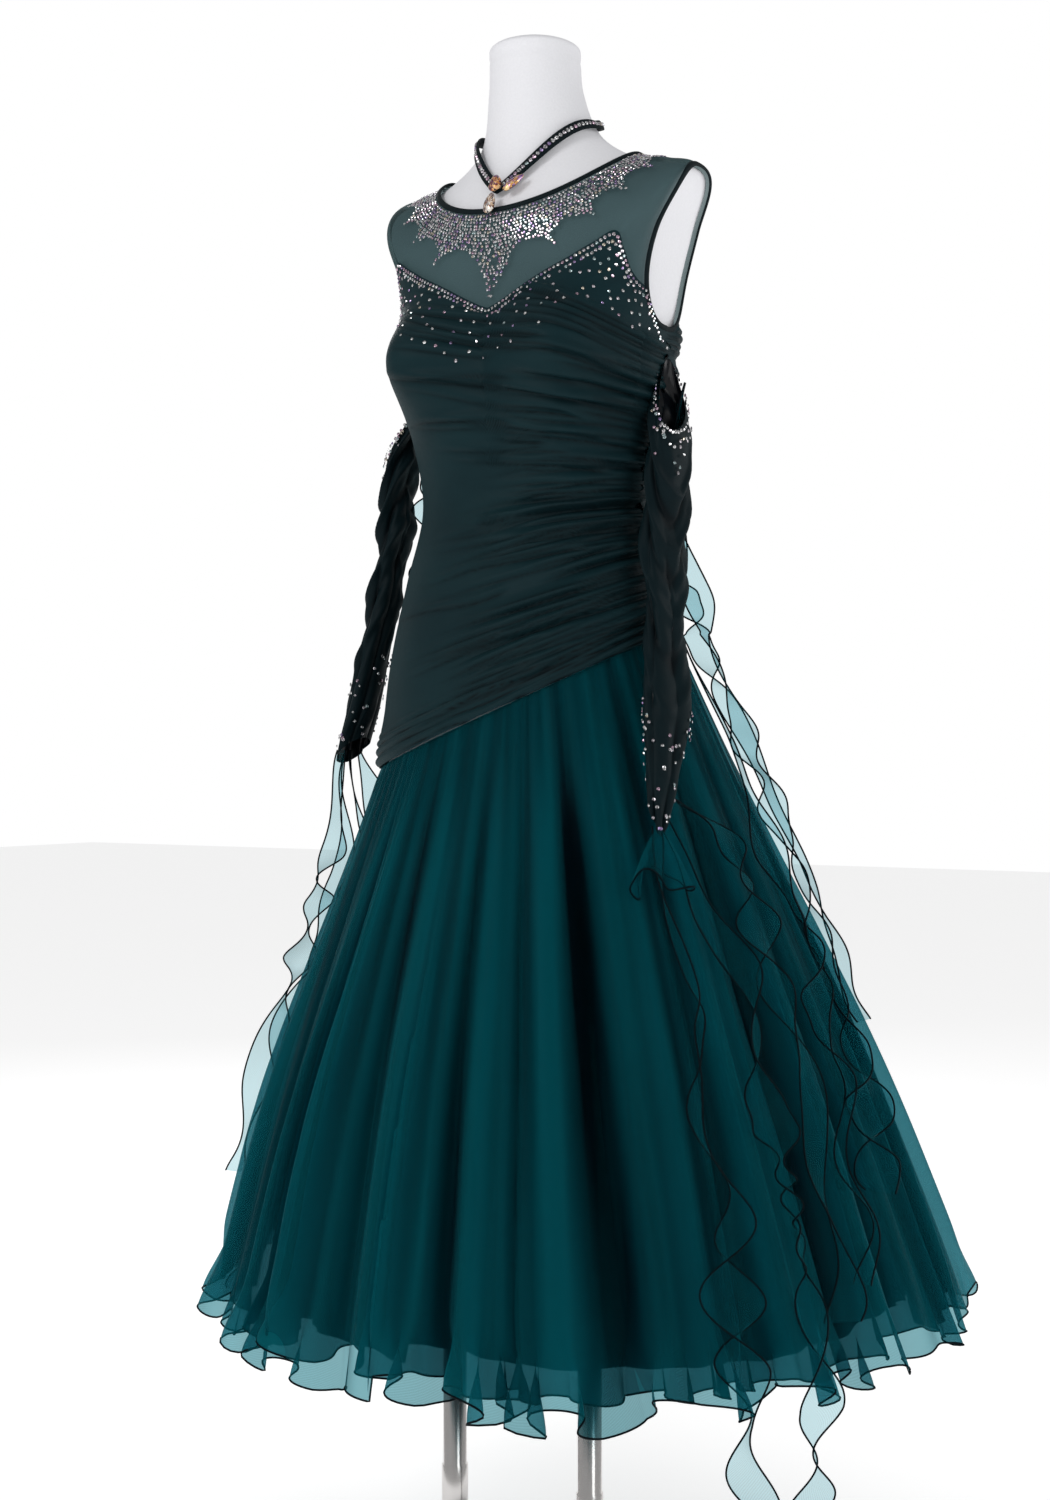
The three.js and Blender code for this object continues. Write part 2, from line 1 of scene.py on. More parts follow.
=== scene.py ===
import math
import bpy
import numpy as np
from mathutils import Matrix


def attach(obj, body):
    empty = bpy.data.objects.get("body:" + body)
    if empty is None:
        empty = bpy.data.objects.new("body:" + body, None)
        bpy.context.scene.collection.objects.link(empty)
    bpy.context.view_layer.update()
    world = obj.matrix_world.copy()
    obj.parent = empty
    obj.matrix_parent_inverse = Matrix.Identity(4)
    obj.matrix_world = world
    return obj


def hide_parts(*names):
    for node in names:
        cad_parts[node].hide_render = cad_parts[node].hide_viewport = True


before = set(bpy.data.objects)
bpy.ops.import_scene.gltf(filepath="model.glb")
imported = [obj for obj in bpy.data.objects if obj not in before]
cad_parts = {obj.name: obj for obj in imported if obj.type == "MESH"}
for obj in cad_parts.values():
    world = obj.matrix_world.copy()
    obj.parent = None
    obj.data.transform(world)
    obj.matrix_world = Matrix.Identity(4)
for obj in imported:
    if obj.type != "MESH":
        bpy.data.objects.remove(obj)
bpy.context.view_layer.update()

print("frame loaded")


# Smooth step from 0 to 1: 3 t squared less 2 t cubed.
def smooth(t):
    t = np.clip(t, 0.0, 1.0)
    return t * t * (3 - 2 * t)


# The value a share t of the way from a to b.
def mix(a, b, t):
    return a + (b - a) * t


# Each vector divided by its length.
def unit(vectors):
    return vectors / np.maximum(np.linalg.norm(vectors, axis=-1, keepdims=True), 1e-12)


# Coordinates side by side, brought to one shape.
def joined(*parts):
    return np.stack(np.broadcast_arrays(*parts), axis=-1)


# Smooth value noise between -1 and 1 on a repeating grid of random values.
def noise(x, y, seed):
    size = 64
    grid = np.random.default_rng(seed).uniform(-1, 1, (size, size))
    x, y = np.broadcast_arrays(np.asarray(x, float), np.asarray(y, float))
    i, j = np.floor(x).astype(int), np.floor(y).astype(int)
    s, t = smooth(x - i), smooth(y - j)
    at = lambda a, b: grid[a % size, b % size]
    return mix(mix(at(i, j), at(i + 1, j), s), mix(at(i, j + 1), at(i + 1, j + 1), s), t)


# Catmull-Rom value of a table's column at row v, whole rows being the table's own.
def columnAt(values, v):
    last = len(values) - 1
    i = np.clip(np.floor(v).astype(int), 0, last - 1)
    t = np.clip(v - i, 0, 1)
    a, b = values[np.clip(i - 1, 0, last)], values[i]
    c, d = values[i + 1], values[np.clip(i + 2, 0, last)]
    slopeB, slopeC = (c - a) / 2, (d - b) / 2
    return (b * (2 * t**3 - 3 * t**2 + 1) + slopeB * (t**3 - 2 * t**2 + t)
            + c * (3 * t**2 - 2 * t**3) + slopeC * (t**3 - t**2))


# The body's surface in metres, as rows of sections from the neck down. Each row: front, side and back height,
# half width, side, front and back depth, squareness.
rings = np.array([
    [1.738, 1.738, 1.738, 0.056, 0.030, -0.027, 0.087, 2.0],
    [1.690, 1.692, 1.694, 0.058, 0.033, -0.026, 0.092, 2.0],
    [1.608, 1.644, 1.656, 0.074, 0.045, -0.030, 0.114, 2.0],
    [1.541, 1.610, 1.628, 0.125, 0.050, -0.055, 0.136, 2.1],
    [1.512, 1.601, 1.592, 0.161, 0.053, -0.058, 0.148, 2.4],
    [1.480, 1.587, 1.552, 0.194, 0.056, -0.057, 0.154, 2.7],
    [1.450, 1.534, 1.510, 0.177, 0.055, -0.061, 0.156, 2.7],
    [1.426, 1.473, 1.466, 0.165, 0.050, -0.067, 0.152, 2.5],
    [1.400, 1.414, 1.420, 0.160, 0.043, -0.073, 0.146, 2.4],
    [1.370, 1.362, 1.375, 0.158, 0.038, -0.075, 0.138, 2.3],
    [1.305, 1.300, 1.305, 0.147, 0.031, -0.068, 0.122, 2.1],
    [1.222, 1.222, 1.222, 0.135, 0.023, -0.063, 0.108, 2.0],
    [1.140, 1.140, 1.140, 0.152, 0.020, -0.082, 0.122, 2.0],
    [1.050, 1.050, 1.050, 0.171, 0.020, -0.100, 0.140, 2.0],
    [0.965, 0.965, 0.965, 0.180, 0.020, -0.108, 0.148, 2.0],
    [0.890, 0.890, 0.890, 0.176, 0.020, -0.106, 0.144, 2.0],
])
bust = {"x": 0.084, "z": 1.384, "spreadX": 0.038, "spreadZ": 0.042, "height": 0.040, "outward": 0.45}
neckRow, bottomRow = 3.0, 15.0


# A point at an angle (0 ahead, 90 at the wearer's left) and row: a squared ellipse of the row's width and
# depths, its height going from side to front or back by a power of the cosine, and a round swell per bust.
def bodyPoint(angle, v):
    angle, v = np.broadcast_arrays(np.asarray(angle, float), np.asarray(v, float))
    zFront, zSide, zBack, wide, ySide, yFront, yBack, square = (columnAt(rings[:, k], v) for k in range(8))
    sine, cosine = np.sin(np.radians(angle)), np.cos(np.radians(angle))
    ahead = cosine > 0
    bent = lambda value: np.sign(value) * np.abs(value) ** (2 / square)
    depth = np.where(ahead, ySide - yFront, yBack - ySide)
    z = mix(zSide, np.where(ahead, zFront, zBack), np.abs(cosine) ** np.where(ahead, 1.4, 2.0))
    x, y = wide * bent(sine), ySide - depth * bent(cosine)
    reach = ((np.abs(x) - bust["x"]) / bust["spreadX"]) ** 2 + ((z - bust["z"]) / bust["spreadZ"]) ** 2
    swell = np.where(ahead, bust["height"] * np.exp(-reach / 2), 0)
    x = x + np.sign(x) * bust["outward"] * swell * np.minimum(1, np.abs(x) / bust["x"])
    return joined(x, y - swell, z)


# The way out of the surface: the cross product of its two slopes.
def bodyNormal(angle, v):
    around = bodyPoint(angle + 1, v) - bodyPoint(angle - 1, v)
    down = bodyPoint(angle, v + 0.02) - bodyPoint(angle, v - 0.02)
    return unit(np.cross(down, around))


# A point on the body, moved out along the normal.
def onBody(angle, v, out=0.0):
    return bodyPoint(angle, v) + bodyNormal(angle, v) * np.asarray(out)[..., None]


# The row at which the body has height z, found by halving.
def rowAt(angle, z):
    angle, z = np.broadcast_arrays(np.asarray(angle, float), np.asarray(z, float))
    above, below = np.full(z.shape, 1.0), np.full(z.shape, bottomRow)
    for _ in range(26):
        middle = (above + below) / 2
        higher = bodyPoint(angle, middle)[..., 2] > z
        above, below = np.where(higher, middle, above), np.where(higher, below, middle)
    return (above + below) / 2


slant = {"middle": 1.005, "rise": 0.075, "turned": 20, "room": 0.0069, "fade": 0.070}


# Height of the bodice's slanted lower edge: one sine wave round the body.
def slantHeight(angle):
    return slant["middle"] + slant["rise"] * np.sin(np.radians(angle - slant["turned"]))


# Room for the skirt's layers under the slanted edge, fading out above it.
def bodiceOffset(angle, v):
    over = (bodyPoint(angle, v)[..., 2] - slantHeight(angle)) / slant["fade"]
    return mix(slant["room"], 0.0, smooth(over))


# A node's name as a piece's name, such as yokeFront for yoke_front.
def pieceName(nodeName):
    first, *rest = nodeName.split("_")
    return first + "".join(word.title() for word in rest)


# A piece stands in for CAD nodes, which are hidden.
def standIn(obj, slot, *nodeNames):
    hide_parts(*nodeNames)


# Share of the way from a panel's middle to its ends, and the sign of the side. Side 0 spans both sides.
def panelShare(columns, side):
    s = np.linspace(0, 1, columns + 1) if side else np.linspace(-1, 1, 2 * columns + 1)
    return np.abs(s), side if side else np.where(s < 0, -1, 1)


# The length of a path up to each of its points.
def lengthAlong(path):
    return np.concatenate([[0], np.linalg.norm(np.diff(path, axis=0), axis=1).cumsum()])


# A mesh on the part's one body, from points and faces, with UVs and fold values if it has them.
def makeMesh(name, points, faces, material, uv=None, smoothShade=True, fold=None):
    mesh = bpy.data.meshes.new(name)
    flat = np.asarray(points, np.float32).reshape(-1, 3)
    sides = faces.shape[1]
    mesh.vertices.add(len(flat))
    mesh.vertices.foreach_set("co", flat.ravel())
    mesh.loops.add(faces.size)
    mesh.loops.foreach_set("vertex_index", faces.ravel().astype(np.int32))
    mesh.polygons.add(len(faces))
    mesh.polygons.foreach_set("loop_start", np.arange(0, faces.size, sides, dtype=np.int32))
    mesh.polygons.foreach_set("use_smooth", np.full(len(faces), smoothShade))
    if uv is not None:
        layer = mesh.uv_layers.new(name="UVMap")
        layer.data.foreach_set("uv", np.asarray(uv, np.float32).reshape(-1, 2)[faces.ravel()].ravel())
    if fold is not None:
        layer = mesh.attributes.new("fold", "FLOAT", "POINT")
        layer.data.foreach_set("value", np.asarray(fold, np.float32).ravel())
    mesh.update()
    mesh.validate()
    mesh.materials.append(material)
    obj = bpy.data.objects.new(name, mesh)
    bpy.context.scene.collection.objects.link(obj)
    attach(obj, "root")
    return obj


# Quads of a grid of rows and columns, which may close round either way.
def gridFaces(rows, columns, closed=False, closedRows=False):
    wide = columns if closed else columns + 1
    tall = rows if closedRows else rows + 1
    i, j = np.meshgrid(np.arange(columns), np.arange(rows))
    right, down = (i + 1) % wide, (j + 1) % tall
    return np.stack([j * wide + i, down * wide + i, down * wide + right, j * wide + right], -1).reshape(-1, 4)


# A cloth surface over a grid of points, rows downwards and columns round.
def makeCloth(name, points, material, closed=False, uv=None, fold=None):
    rows, columns = points.shape[0] - 1, points.shape[1] - (0 if closed else 1)
    return makeMesh(name, points, gridFaces(rows, columns, closed), material, uv, fold=fold)


upright = np.array([0.0, 0.0, 1.0])


# A round or flattened profile carried on a path. out is the direction of the profile's height.
def makeTube(name, path, out, wide, tall, material, sides=6, closed=False):
    ahead = np.roll(path, -1, 0) - np.roll(path, 1, 0) if closed else np.gradient(path, axis=0)
    ahead = unit(ahead)
    across = unit(np.cross(ahead, out))
    up = np.cross(across, ahead)
    turn = np.linspace(0, 2 * np.pi, sides, endpoint=False)
    wide, tall = np.asarray(wide, float), np.asarray(tall, float)
    points = (path[:, None] + across[:, None] * np.cos(turn)[:, None] * wide.reshape(-1, 1, 1)
              + up[:, None] * np.sin(turn)[:, None] * tall.reshape(-1, 1, 1))
    rows = len(path) - (0 if closed else 1)
    return makeMesh(name, points, gridFaces(rows, sides, True, closed), material)


# Several objects made one.
def joinObjects(name, objects):
    with bpy.context.temp_override(active_object=objects[0], selected_editable_objects=objects):
        bpy.ops.object.join()
    objects[0].name = name
    return objects[0]


# A new material with its node tree and main shader.
def newMaterial(name):
    material = bpy.data.materials.new(name)
    material.use_nodes = True
    tree = material.node_tree
    return material, tree.nodes, tree.links, tree.nodes["Principled BSDF"]


# A new node. in_X sets the input named X, and anything else a property.
def node(nodes, kind, **settings):
    made = nodes.new(kind)
    for key, value in settings.items():
        if key.startswith("in_"):
            made.inputs[key[3:].replace("_", " ")].default_value = value
        else:
            setattr(made, key, value)
    return made


# A bump from a height, on a shader.
def bumpFrom(nodes, links, shader, height, strength, distance):
    bump = node(nodes, "ShaderNodeBump", in_Strength=strength, in_Distance=distance)
    links.new(height, bump.inputs["Height"])
    links.new(bump.outputs["Normal"], shader.inputs["Normal"])
    return bump


jerseyLook = {"shade": (0.0035, 0.014, 0.018, 1), "light": (0.0065, 0.026, 0.031, 1), "roughness": 0.5,
              "specular": 0.07, "sheen": 0.02, "sheenTint": (0.35, 0.75, 0.8, 1), "ribs": 950, "streaks": 26,
              "paintedCreaseShade": 0.85, "paintedCreaseShadeColor": (0.001, 0.002, 0.003, 1)}


# Stretch jersey: streaks between two shades, painted shade in the creases, with ribs and streaks as bumps.
def makeJersey(name, look):
    material, nodes, links, shader = newMaterial(name)
    place = node(nodes, "ShaderNodeTexCoord")
    stretch = node(nodes, "ShaderNodeMapping", in_Scale=(0.35, 1.0, 1.0))
    links.new(place.outputs["UV"], stretch.inputs["Vector"])
    streaks = node(nodes, "ShaderNodeTexNoise", in_Scale=look["streaks"], in_Detail=4.0, in_Roughness=0.55)
    links.new(stretch.outputs["Vector"], streaks.inputs["Vector"])
    ramp = node(nodes, "ShaderNodeMix", data_type="RGBA")
    links.new(streaks.outputs["Fac"], ramp.inputs[0])
    ramp.inputs[6].default_value = look["shade"]
    ramp.inputs[7].default_value = look["light"]
    # The fold value mixes in a near-black colour: painted shade in the creases of the bodice and sleeves.
    crease = node(nodes, "ShaderNodeAttribute", attribute_name="fold")
    depth = node(nodes, "ShaderNodeMath", operation="MULTIPLY")
    links.new(crease.outputs["Fac"], depth.inputs[0])
    depth.inputs[1].default_value = look["paintedCreaseShade"]
    darker = node(nodes, "ShaderNodeMix", data_type="RGBA")
    links.new(depth.outputs[0], darker.inputs[0])
    links.new(ramp.outputs[2], darker.inputs[6])
    darker.inputs[7].default_value = look["paintedCreaseShadeColor"]
    links.new(darker.outputs[2], shader.inputs["Base Color"])
    shader.inputs["Roughness"].default_value = look["roughness"]
    shader.inputs["Specular IOR Level"].default_value = look["specular"]
    shader.inputs["Sheen Weight"].default_value = look["sheen"]
    shader.inputs["Sheen Roughness"].default_value = 0.4
    shader.inputs["Sheen Tint"].default_value = look["sheenTint"]
    ribs = node(nodes, "ShaderNodeTexWave", bands_direction="X", in_Scale=look["ribs"], in_Distortion=0.4)
    links.new(place.outputs["UV"], ribs.inputs["Vector"])
    fine = bumpFrom(nodes, links, shader, ribs.outputs["Fac"], 0.15, 0.0003)
    coarse = node(nodes, "ShaderNodeBump", in_Strength=0.5, in_Distance=0.002)
    links.new(streaks.outputs["Fac"], coarse.inputs["Height"])
    links.new(coarse.outputs["Normal"], fine.inputs["Normal"])
    return material


# Sheer cloth: part of it covers, the rest lets tinted light through. It covers more at grazing angles.
def makeSheer(name, look):
    material, nodes, links, shader = newMaterial(name)
    output = nodes["Material Output"]
    place = node(nodes, "ShaderNodeTexCoord")
    weave = node(nodes, "ShaderNodeTexWave", wave_type="BANDS", bands_direction="DIAGONAL",
                 in_Scale=look["weave"], in_Distortion=0.6, in_Detail=1.0)
    links.new(place.outputs["UV"], weave.inputs["Vector"])
    # The colour goes from shade to light by the fold value and by streaks of noise: painted shade in the
    # valleys, painted light on the crests and streaks.
    tint = node(nodes, "ShaderNodeMix", data_type="RGBA")
    streakPlace = node(nodes, "ShaderNodeMapping", in_Scale=(look["streaks"], 1.2, 1.0))
    links.new(place.outputs["UV"], streakPlace.inputs["Vector"])
    streaks = node(nodes, "ShaderNodeTexNoise", in_Scale=1.0, in_Detail=3.0)
    links.new(streakPlace.outputs["Vector"], streaks.inputs["Vector"])
    fold = node(nodes, "ShaderNodeAttribute", attribute_name="fold")
    height = node(nodes, "ShaderNodeMath", operation="MULTIPLY_ADD")
    links.new(fold.outputs["Fac"], height.inputs[0])
    height.inputs[1].default_value = look["foldLightAndShade"]
    height.inputs[2].default_value = 0.5 - 0.5 * look["foldLightAndShade"] - 0.5 * look["streakLightAndShade"]
    lighter = node(nodes, "ShaderNodeMath", operation="MULTIPLY_ADD", use_clamp=True)
    links.new(streaks.outputs["Fac"], lighter.inputs[0])
    lighter.inputs[1].default_value = look["streakLightAndShade"]
    links.new(height.outputs[0], lighter.inputs[2])
    links.new(lighter.outputs[0], tint.inputs[0])
    tint.inputs[6].default_value = look["shade"]
    tint.inputs[7].default_value = look["light"]
    links.new(tint.outputs[2], shader.inputs["Base Color"])
    shader.inputs["Roughness"].default_value = look["roughness"]
    shader.inputs["Sheen Weight"].default_value = look["sheen"]
    shader.inputs["Sheen Tint"].default_value = look["sheenTint"]
    shader.inputs["Specular IOR Level"].default_value = look["specular"]
    glow = node(nodes, "ShaderNodeBsdfTranslucent")
    links.new(tint.outputs[2], glow.inputs["Color"])
    body = node(nodes, "ShaderNodeMixShader", in_Fac=look["glow"])
    links.new(shader.outputs["BSDF"], body.inputs[1])
    links.new(glow.outputs["BSDF"], body.inputs[2])
    clear = node(nodes, "ShaderNodeBsdfTransparent", in_Color=look["through"])
    facing = node(nodes, "ShaderNodeLayerWeight", in_Blend=0.5)
    edge = node(nodes, "ShaderNodeMath", operation="POWER")
    links.new(facing.outputs["Facing"], edge.inputs[0])
    edge.inputs[1].default_value = look["edgePower"]
    cover = node(nodes, "ShaderNodeMath", operation="MULTIPLY_ADD")
    links.new(edge.outputs[0], cover.inputs[0])
    cover.inputs[1].default_value = look["grazing"]
    cover.inputs[2].default_value = look["cover"]
    woven = node(nodes, "ShaderNodeMath", operation="MULTIPLY_ADD", use_clamp=True)
    links.new(weave.outputs["Fac"], woven.inputs[0])
    woven.inputs[1].default_value = look["weaveDepth"]
    links.new(cover.outputs[0], woven.inputs[2])
    both = node(nodes, "ShaderNodeMixShader")
    links.new(woven.outputs[0], both.inputs[0])
    links.new(clear.outputs["BSDF"], both.inputs[1])
    links.new(body.outputs[0], both.inputs[2])
    links.new(both.outputs[0], output.inputs["Surface"])
    return material


# A plain finish that varies a little with a fine grain. Other inputs are set by their names.
def makePlain(name, color, roughness, metallic=0.0, **inputs):
    material, nodes, links, shader = newMaterial(name)
    speck = node(nodes, "ShaderNodeTexNoise", in_Scale=inputs.pop("grain", 60.0), in_Detail=4.0)
    place = node(nodes, "ShaderNodeTexCoord")
    links.new(place.outputs["Object"], speck.inputs["Vector"])
    shade = node(nodes, "ShaderNodeMix", data_type="RGBA")
    links.new(speck.outputs["Fac"], shade.inputs[0])
    vary = inputs.pop("vary", 0.06)
    shade.inputs[6].default_value = (*[c * (1 - vary) for c in color], 1)
    shade.inputs[7].default_value = (*[min(1, c * (1 + vary)) for c in color], 1)
    links.new(shade.outputs[2], shader.inputs["Base Color"])
    shader.inputs["Roughness"].default_value = roughness
    shader.inputs["Metallic"].default_value = metallic
    strength = inputs.pop("bump", 0.0)
    if strength:
        bumpFrom(nodes, links, shader, speck.outputs["Fac"], strength, 0.0006)
    for key, value in inputs.items():
        shader.inputs[key.replace("_", " ")].default_value = value
    return material


# Stones take their tint, painted glints included, from the "tint" attribute of each face.
def makeStoneMaterial(name, metallic, roughness):
    material, nodes, links, shader = newMaterial(name)
    tint = node(nodes, "ShaderNodeAttribute", attribute_name="tint")
    links.new(tint.outputs["Color"], shader.inputs["Base Color"])
    shader.inputs["Metallic"].default_value = metallic
    shader.inputs["Roughness"].default_value = roughness
    shader.inputs["Coat Weight"].default_value = 0.6
    shader.inputs["IOR"].default_value = 1.7
    return material


skirtLook = {"shade": (0.0003, 0.007, 0.012, 1), "light": (0.0008, 0.135, 0.165, 1), "roughness": 0.5,
             "specular": 0.04, "sheen": 0.02, "sheenTint": (0.4, 0.9, 1.0, 1), "glow": 0.30,
             "through": (0.34, 0.64, 0.70, 1), "cover": 0.40, "grazing": 0.35, "edgePower": 2.2, "weave": 260,
             "weaveDepth": 0.08, "streaks": 26.0, "streakLightAndShade": 1.9, "foldLightAndShade": 1.0}
underLook = {**skirtLook, "cover": 0.70, "through": (0.20, 0.46, 0.52, 1), "streaks": 19.0}
floatLook = {**skirtLook, "shade": (0.001, 0.070, 0.090, 1), "light": (0.002, 0.160, 0.190, 1), "cover": 0.13,
             "through": (0.68, 0.88, 0.92, 1), "foldLightAndShade": 0.0, "streaks": 60.0, "streakLightAndShade": 1.0}
meshLook = {"shade": (0.014, 0.034, 0.037, 1), "light": (0.026, 0.058, 0.062, 1), "roughness": 0.6,
            "specular": 0.10, "sheen": 0.04, "sheenTint": (0.5, 0.8, 0.85, 1), "glow": 0.1,
            "through": (0.66, 0.82, 0.84, 1), "cover": 0.58, "grazing": 0.30, "edgePower": 2.2, "weave": 420,
            "weaveDepth": 0.12, "streaks": 30.0, "streakLightAndShade": 1.0, "foldLightAndShade": 0.0}
jersey = makeJersey("jerseyCloth", jerseyLook)
organza = makeSheer("organzaCloth", skirtLook)
underOrganza = makeSheer("underOrganza", underLook)
floatOrganza = makeSheer("floatOrganza", floatLook)
yokeMesh = makeSheer("yokeMesh", meshLook)
lining = makePlain("liningSatin", (0.0006, 0.008, 0.014), 0.6, Specular_IOR_Level=0.08, vary=0.3, grain=9.0)
sleeveJersey = makeJersey("sleeveJersey", {**jerseyLook, "shade": (0.0016, 0.0055, 0.0075, 1),
                                           "light": (0.0035, 0.012, 0.015, 1)})
insideSatin = makePlain("insideSatin", (0.002, 0.003, 0.005), 0.3, Specular_IOR_Level=0.2, vary=0.3,
                        grain=20.0)
cordBlack = makePlain("rolledEdge", (0.001, 0.004, 0.006), 0.6, Specular_IOR_Level=0.05)
binding = makePlain("bindingJersey", (0.002, 0.007, 0.009), 0.6, Specular_IOR_Level=0.1, grain=300.0,
                    vary=0.3, bump=0.2)
linen = makePlain("linenCover", (0.80, 0.80, 0.83), 0.85, grain=420.0, vary=0.05, bump=0.35)
chrome = makePlain("polishedTube", (0.62, 0.60, 0.59), 0.22, 1.0)
platePaint = makePlain("platePaint", (0.72, 0.72, 0.73), 0.4, 0.3)
stone = makeStoneMaterial("smallStone", 0.85, 0.12)
gem = makeStoneMaterial("largeStone", 0.35, 0.06)
print("materials made")

formPiece = {"inset": 0.0045, "columns": 96, "rows": 140, "dome": 0.013, "domeRows": 13, "topY": 0.030,
             "bottomY": 0.020, "seamRow": 0.32, "seam": 0.0009, "seamWide": 0.03}


# The form is the body's surface moved in, with a sunk seam round the neck. A quarter sine closes it above,
# and rings that shrink to a point close it below.
def makeForm(p):
    turn = np.arange(p["columns"]) * 360 / p["columns"]
    v = np.linspace(0, bottomRow, p["rows"] + 1)[:, None]
    seam = p["seam"] * np.exp(-(((v - p["seamRow"]) / p["seamWide"]) ** 2))
    points = onBody(turn, v, -p["inset"]) - bodyNormal(turn, v) * seam[..., None]
    topMiddle = np.array([0.0, p["topY"], rings[0, 0]])
    rise = np.linspace(0, np.pi / 2, p["domeRows"], endpoint=False)[:, None]
    cap = topMiddle + (points[0] - topMiddle) * np.sin(rise)[..., None]
    cap[..., 2] = topMiddle[2] + p["dome"] * np.cos(rise)
    bottomMiddle = np.array([0.0, p["bottomY"], rings[-1, 0]])
    shut = bottomMiddle + (points[-1] - bottomMiddle) * np.linspace(0.98, 0, 5)[:, None, None]
    obj = makeCloth("dressForm", np.concatenate([cap, points, shut]), linen, closed=True)
    standIn(obj, "linen", "form_torso")


standPiece = {"plateRadius": 0.210, "plate": 0.012, "bevel": 0.002, "pole": 0.015, "inner": 0.0135,
              "step": 0.135, "poleFoot": 0.0123, "poleTop": 0.8895, "spread": 0.089, "axis": 1e-4}


# A profile of radii and heights turned round a centre.
def lathe(name, profile, centre, material, sides=64):
    turn = np.arange(sides) * 2 * np.pi / sides
    radius, height = np.array(profile).T[..., None]
    points = joined(centre[0] + radius * np.cos(turn), centre[1] + radius * np.sin(turn), height + 0 * turn)
    return makeMesh(name, points, gridFaces(len(profile) - 1, sides, True), material)


def makeStand(p):
    top, r, bevel, axis = p["plate"], p["plateRadius"], p["bevel"], p["axis"]
    profile = [[axis, top], [r - 2 * bevel, top], [r - bevel, top - 0.6 * bevel], [r, top - 2 * bevel],
               [r, 0], [axis, 0]]
    standIn(lathe("standPlate", profile, (0, 0), platePaint), "plate", "stand_plate")
    r, thin, step, foot, end = p["pole"], p["inner"], p["step"], p["poleFoot"], p["poleTop"]
    profile = [[axis, end], [thin, end], [thin, step + bevel], [r, step], [r, foot], [axis, foot]]
    for side, x in (("left", p["spread"]), ("right", -p["spread"])):
        pole = lathe("standPole" + side.title(), profile, (x, 0), chrome, 40)
        standIn(pole, "polished", "stand_pole_" + side)


makeForm(formPiece)
makeStand(standPiece)
print("form and stand made")

armhole = {"front": 19, "back": 23, "top": 5.0, "bottom": 8.0, "perTop": 33, "perBottom": 66, "perDegree": 3,
           "clothGrow": 4.0, "bindingGrow": 3.0}
bindingLap = 0.03  # rows that the yoke runs on under a binding


# Edge of an armhole, made wider by grow millimetres. turn runs from the shoulder through the front to the
# underarm and up the back: the angle goes by its sine, and the row by its cosine.
def armholeEdge(turn, grow):
    a = armhole
    top, bottom = a["top"] - grow / a["perTop"], a["bottom"] + grow / a["perBottom"]
    half = np.where(turn < 180, a["front"], a["back"]) + grow / a["perDegree"]
    return 90 - half * np.sin(np.radians(turn)), mix(top, bottom, (1 - np.cos(np.radians(turn))) / 2)


# Where the jersey's edge meets the armhole: turn, and then angle and height.
frontTurn, backTurn = 120.0, 210.0


def meetArmhole(turn):
    angle, row = armholeEdge(turn, armhole["clothGrow"])
    return float(angle), float(bodyPoint(angle, row)[2])


# The jersey's upper edge, each row an angle and a height. The row before 0 makes the dip a sharp one.
frontMeet, backMeet = meetArmhole(frontTurn), meetArmhole(backTurn)
sweetheart = np.array([[-12, 1.403], [0, 1.432], [12, 1.461], [23, 1.480], [32, 1.494], [41, 1.505],
                       [50, 1.490], [62, 1.462], frontMeet])
backEdge = np.array([backMeet, [116, 1.424], [150, 1.424], [180, 1.424]])


# Smooth height of an edge at an angle.
def edgeHeight(table, angle):
    return columnAt(table[:, 1], np.interp(np.abs(angle), table[:, 0], np.arange(len(table))))


# Outer edge of the yoke and upper edge of the jersey, at share s from the middle (0) to the armhole's end.
# The first part runs along the jersey's edge, and the rest round the armhole to lastTurn.
def seamEdge(s, front, lastTurn, share):
    table, turn, middle = (sweetheart, frontTurn, 0.0) if front else (backEdge, backTurn, 180.0)
    angle = mix(middle, (frontMeet if front else backMeet)[0], np.clip(s / share, 0, 1))
    v = rowAt(angle, edgeHeight(table, angle))
    turn = mix(turn, lastTurn, np.clip((s - share) / (1 - share), 0, 1))
    armAngle, armV = armholeEdge(turn, armhole["clothGrow"])
    return np.where(s <= share, angle, armAngle), np.where(s <= share, v, armV)


yokePiece = {"columns": 150, "rows": 60, "lap": 0.0008}
yokeFrontCut = {"middle": 0.0, "spread": 56.0, "share": 0.5, "lastTurn": 0.0, "power": 2.6,
                "flat": (0.42, 0.17)}
yokeBackCut = {"middle": 180.0, "spread": 150.0, "share": 0.4, "lastTurn": 360.0, "power": 3.0,
               "flat": (0.21, 0.23)}


# Yoke panels: from the neckline to the outer edge by row, with the angle going over by a power of the share.
def makeYoke(p):
    for name, side in (("yoke_front", 0), ("yoke_back_left", 1), ("yoke_back_right", -1)):
        cut = yokeBackCut if side else yokeFrontCut
        middle, spread, share = cut["middle"], cut["spread"], cut["share"]
        s, sign = panelShare(p["columns"], side)
        w = np.linspace(0, 1, p["rows"] + 1)[:, None]
        outerAngle, outerV = seamEdge(s, not side, cut["lastTurn"], share)
        far = mix(spread, 90.0, (s - share) / (1 - share))
        inner = np.where(s <= share, mix(middle, spread, s / share), far)
        angle = sign * mix(inner, outerAngle, w ** cut["power"])
        v = mix(neckRow - bindingLap, outerV + bindingLap, w)
        uv = joined(angle * 0.0026, v * 0.05)
        obj = makeCloth(pieceName(name), onBody(angle, v, p["lap"]), yokeMesh, uv=uv)
        standIn(obj, "mesh", name)


bindingPiece = {"neckWide": 0.0032, "armWide": 0.0034, "tall": 0.0014, "neckLift": 0.0012, "armLift": 0.0014,
                "steps": 260, "sides": 10}


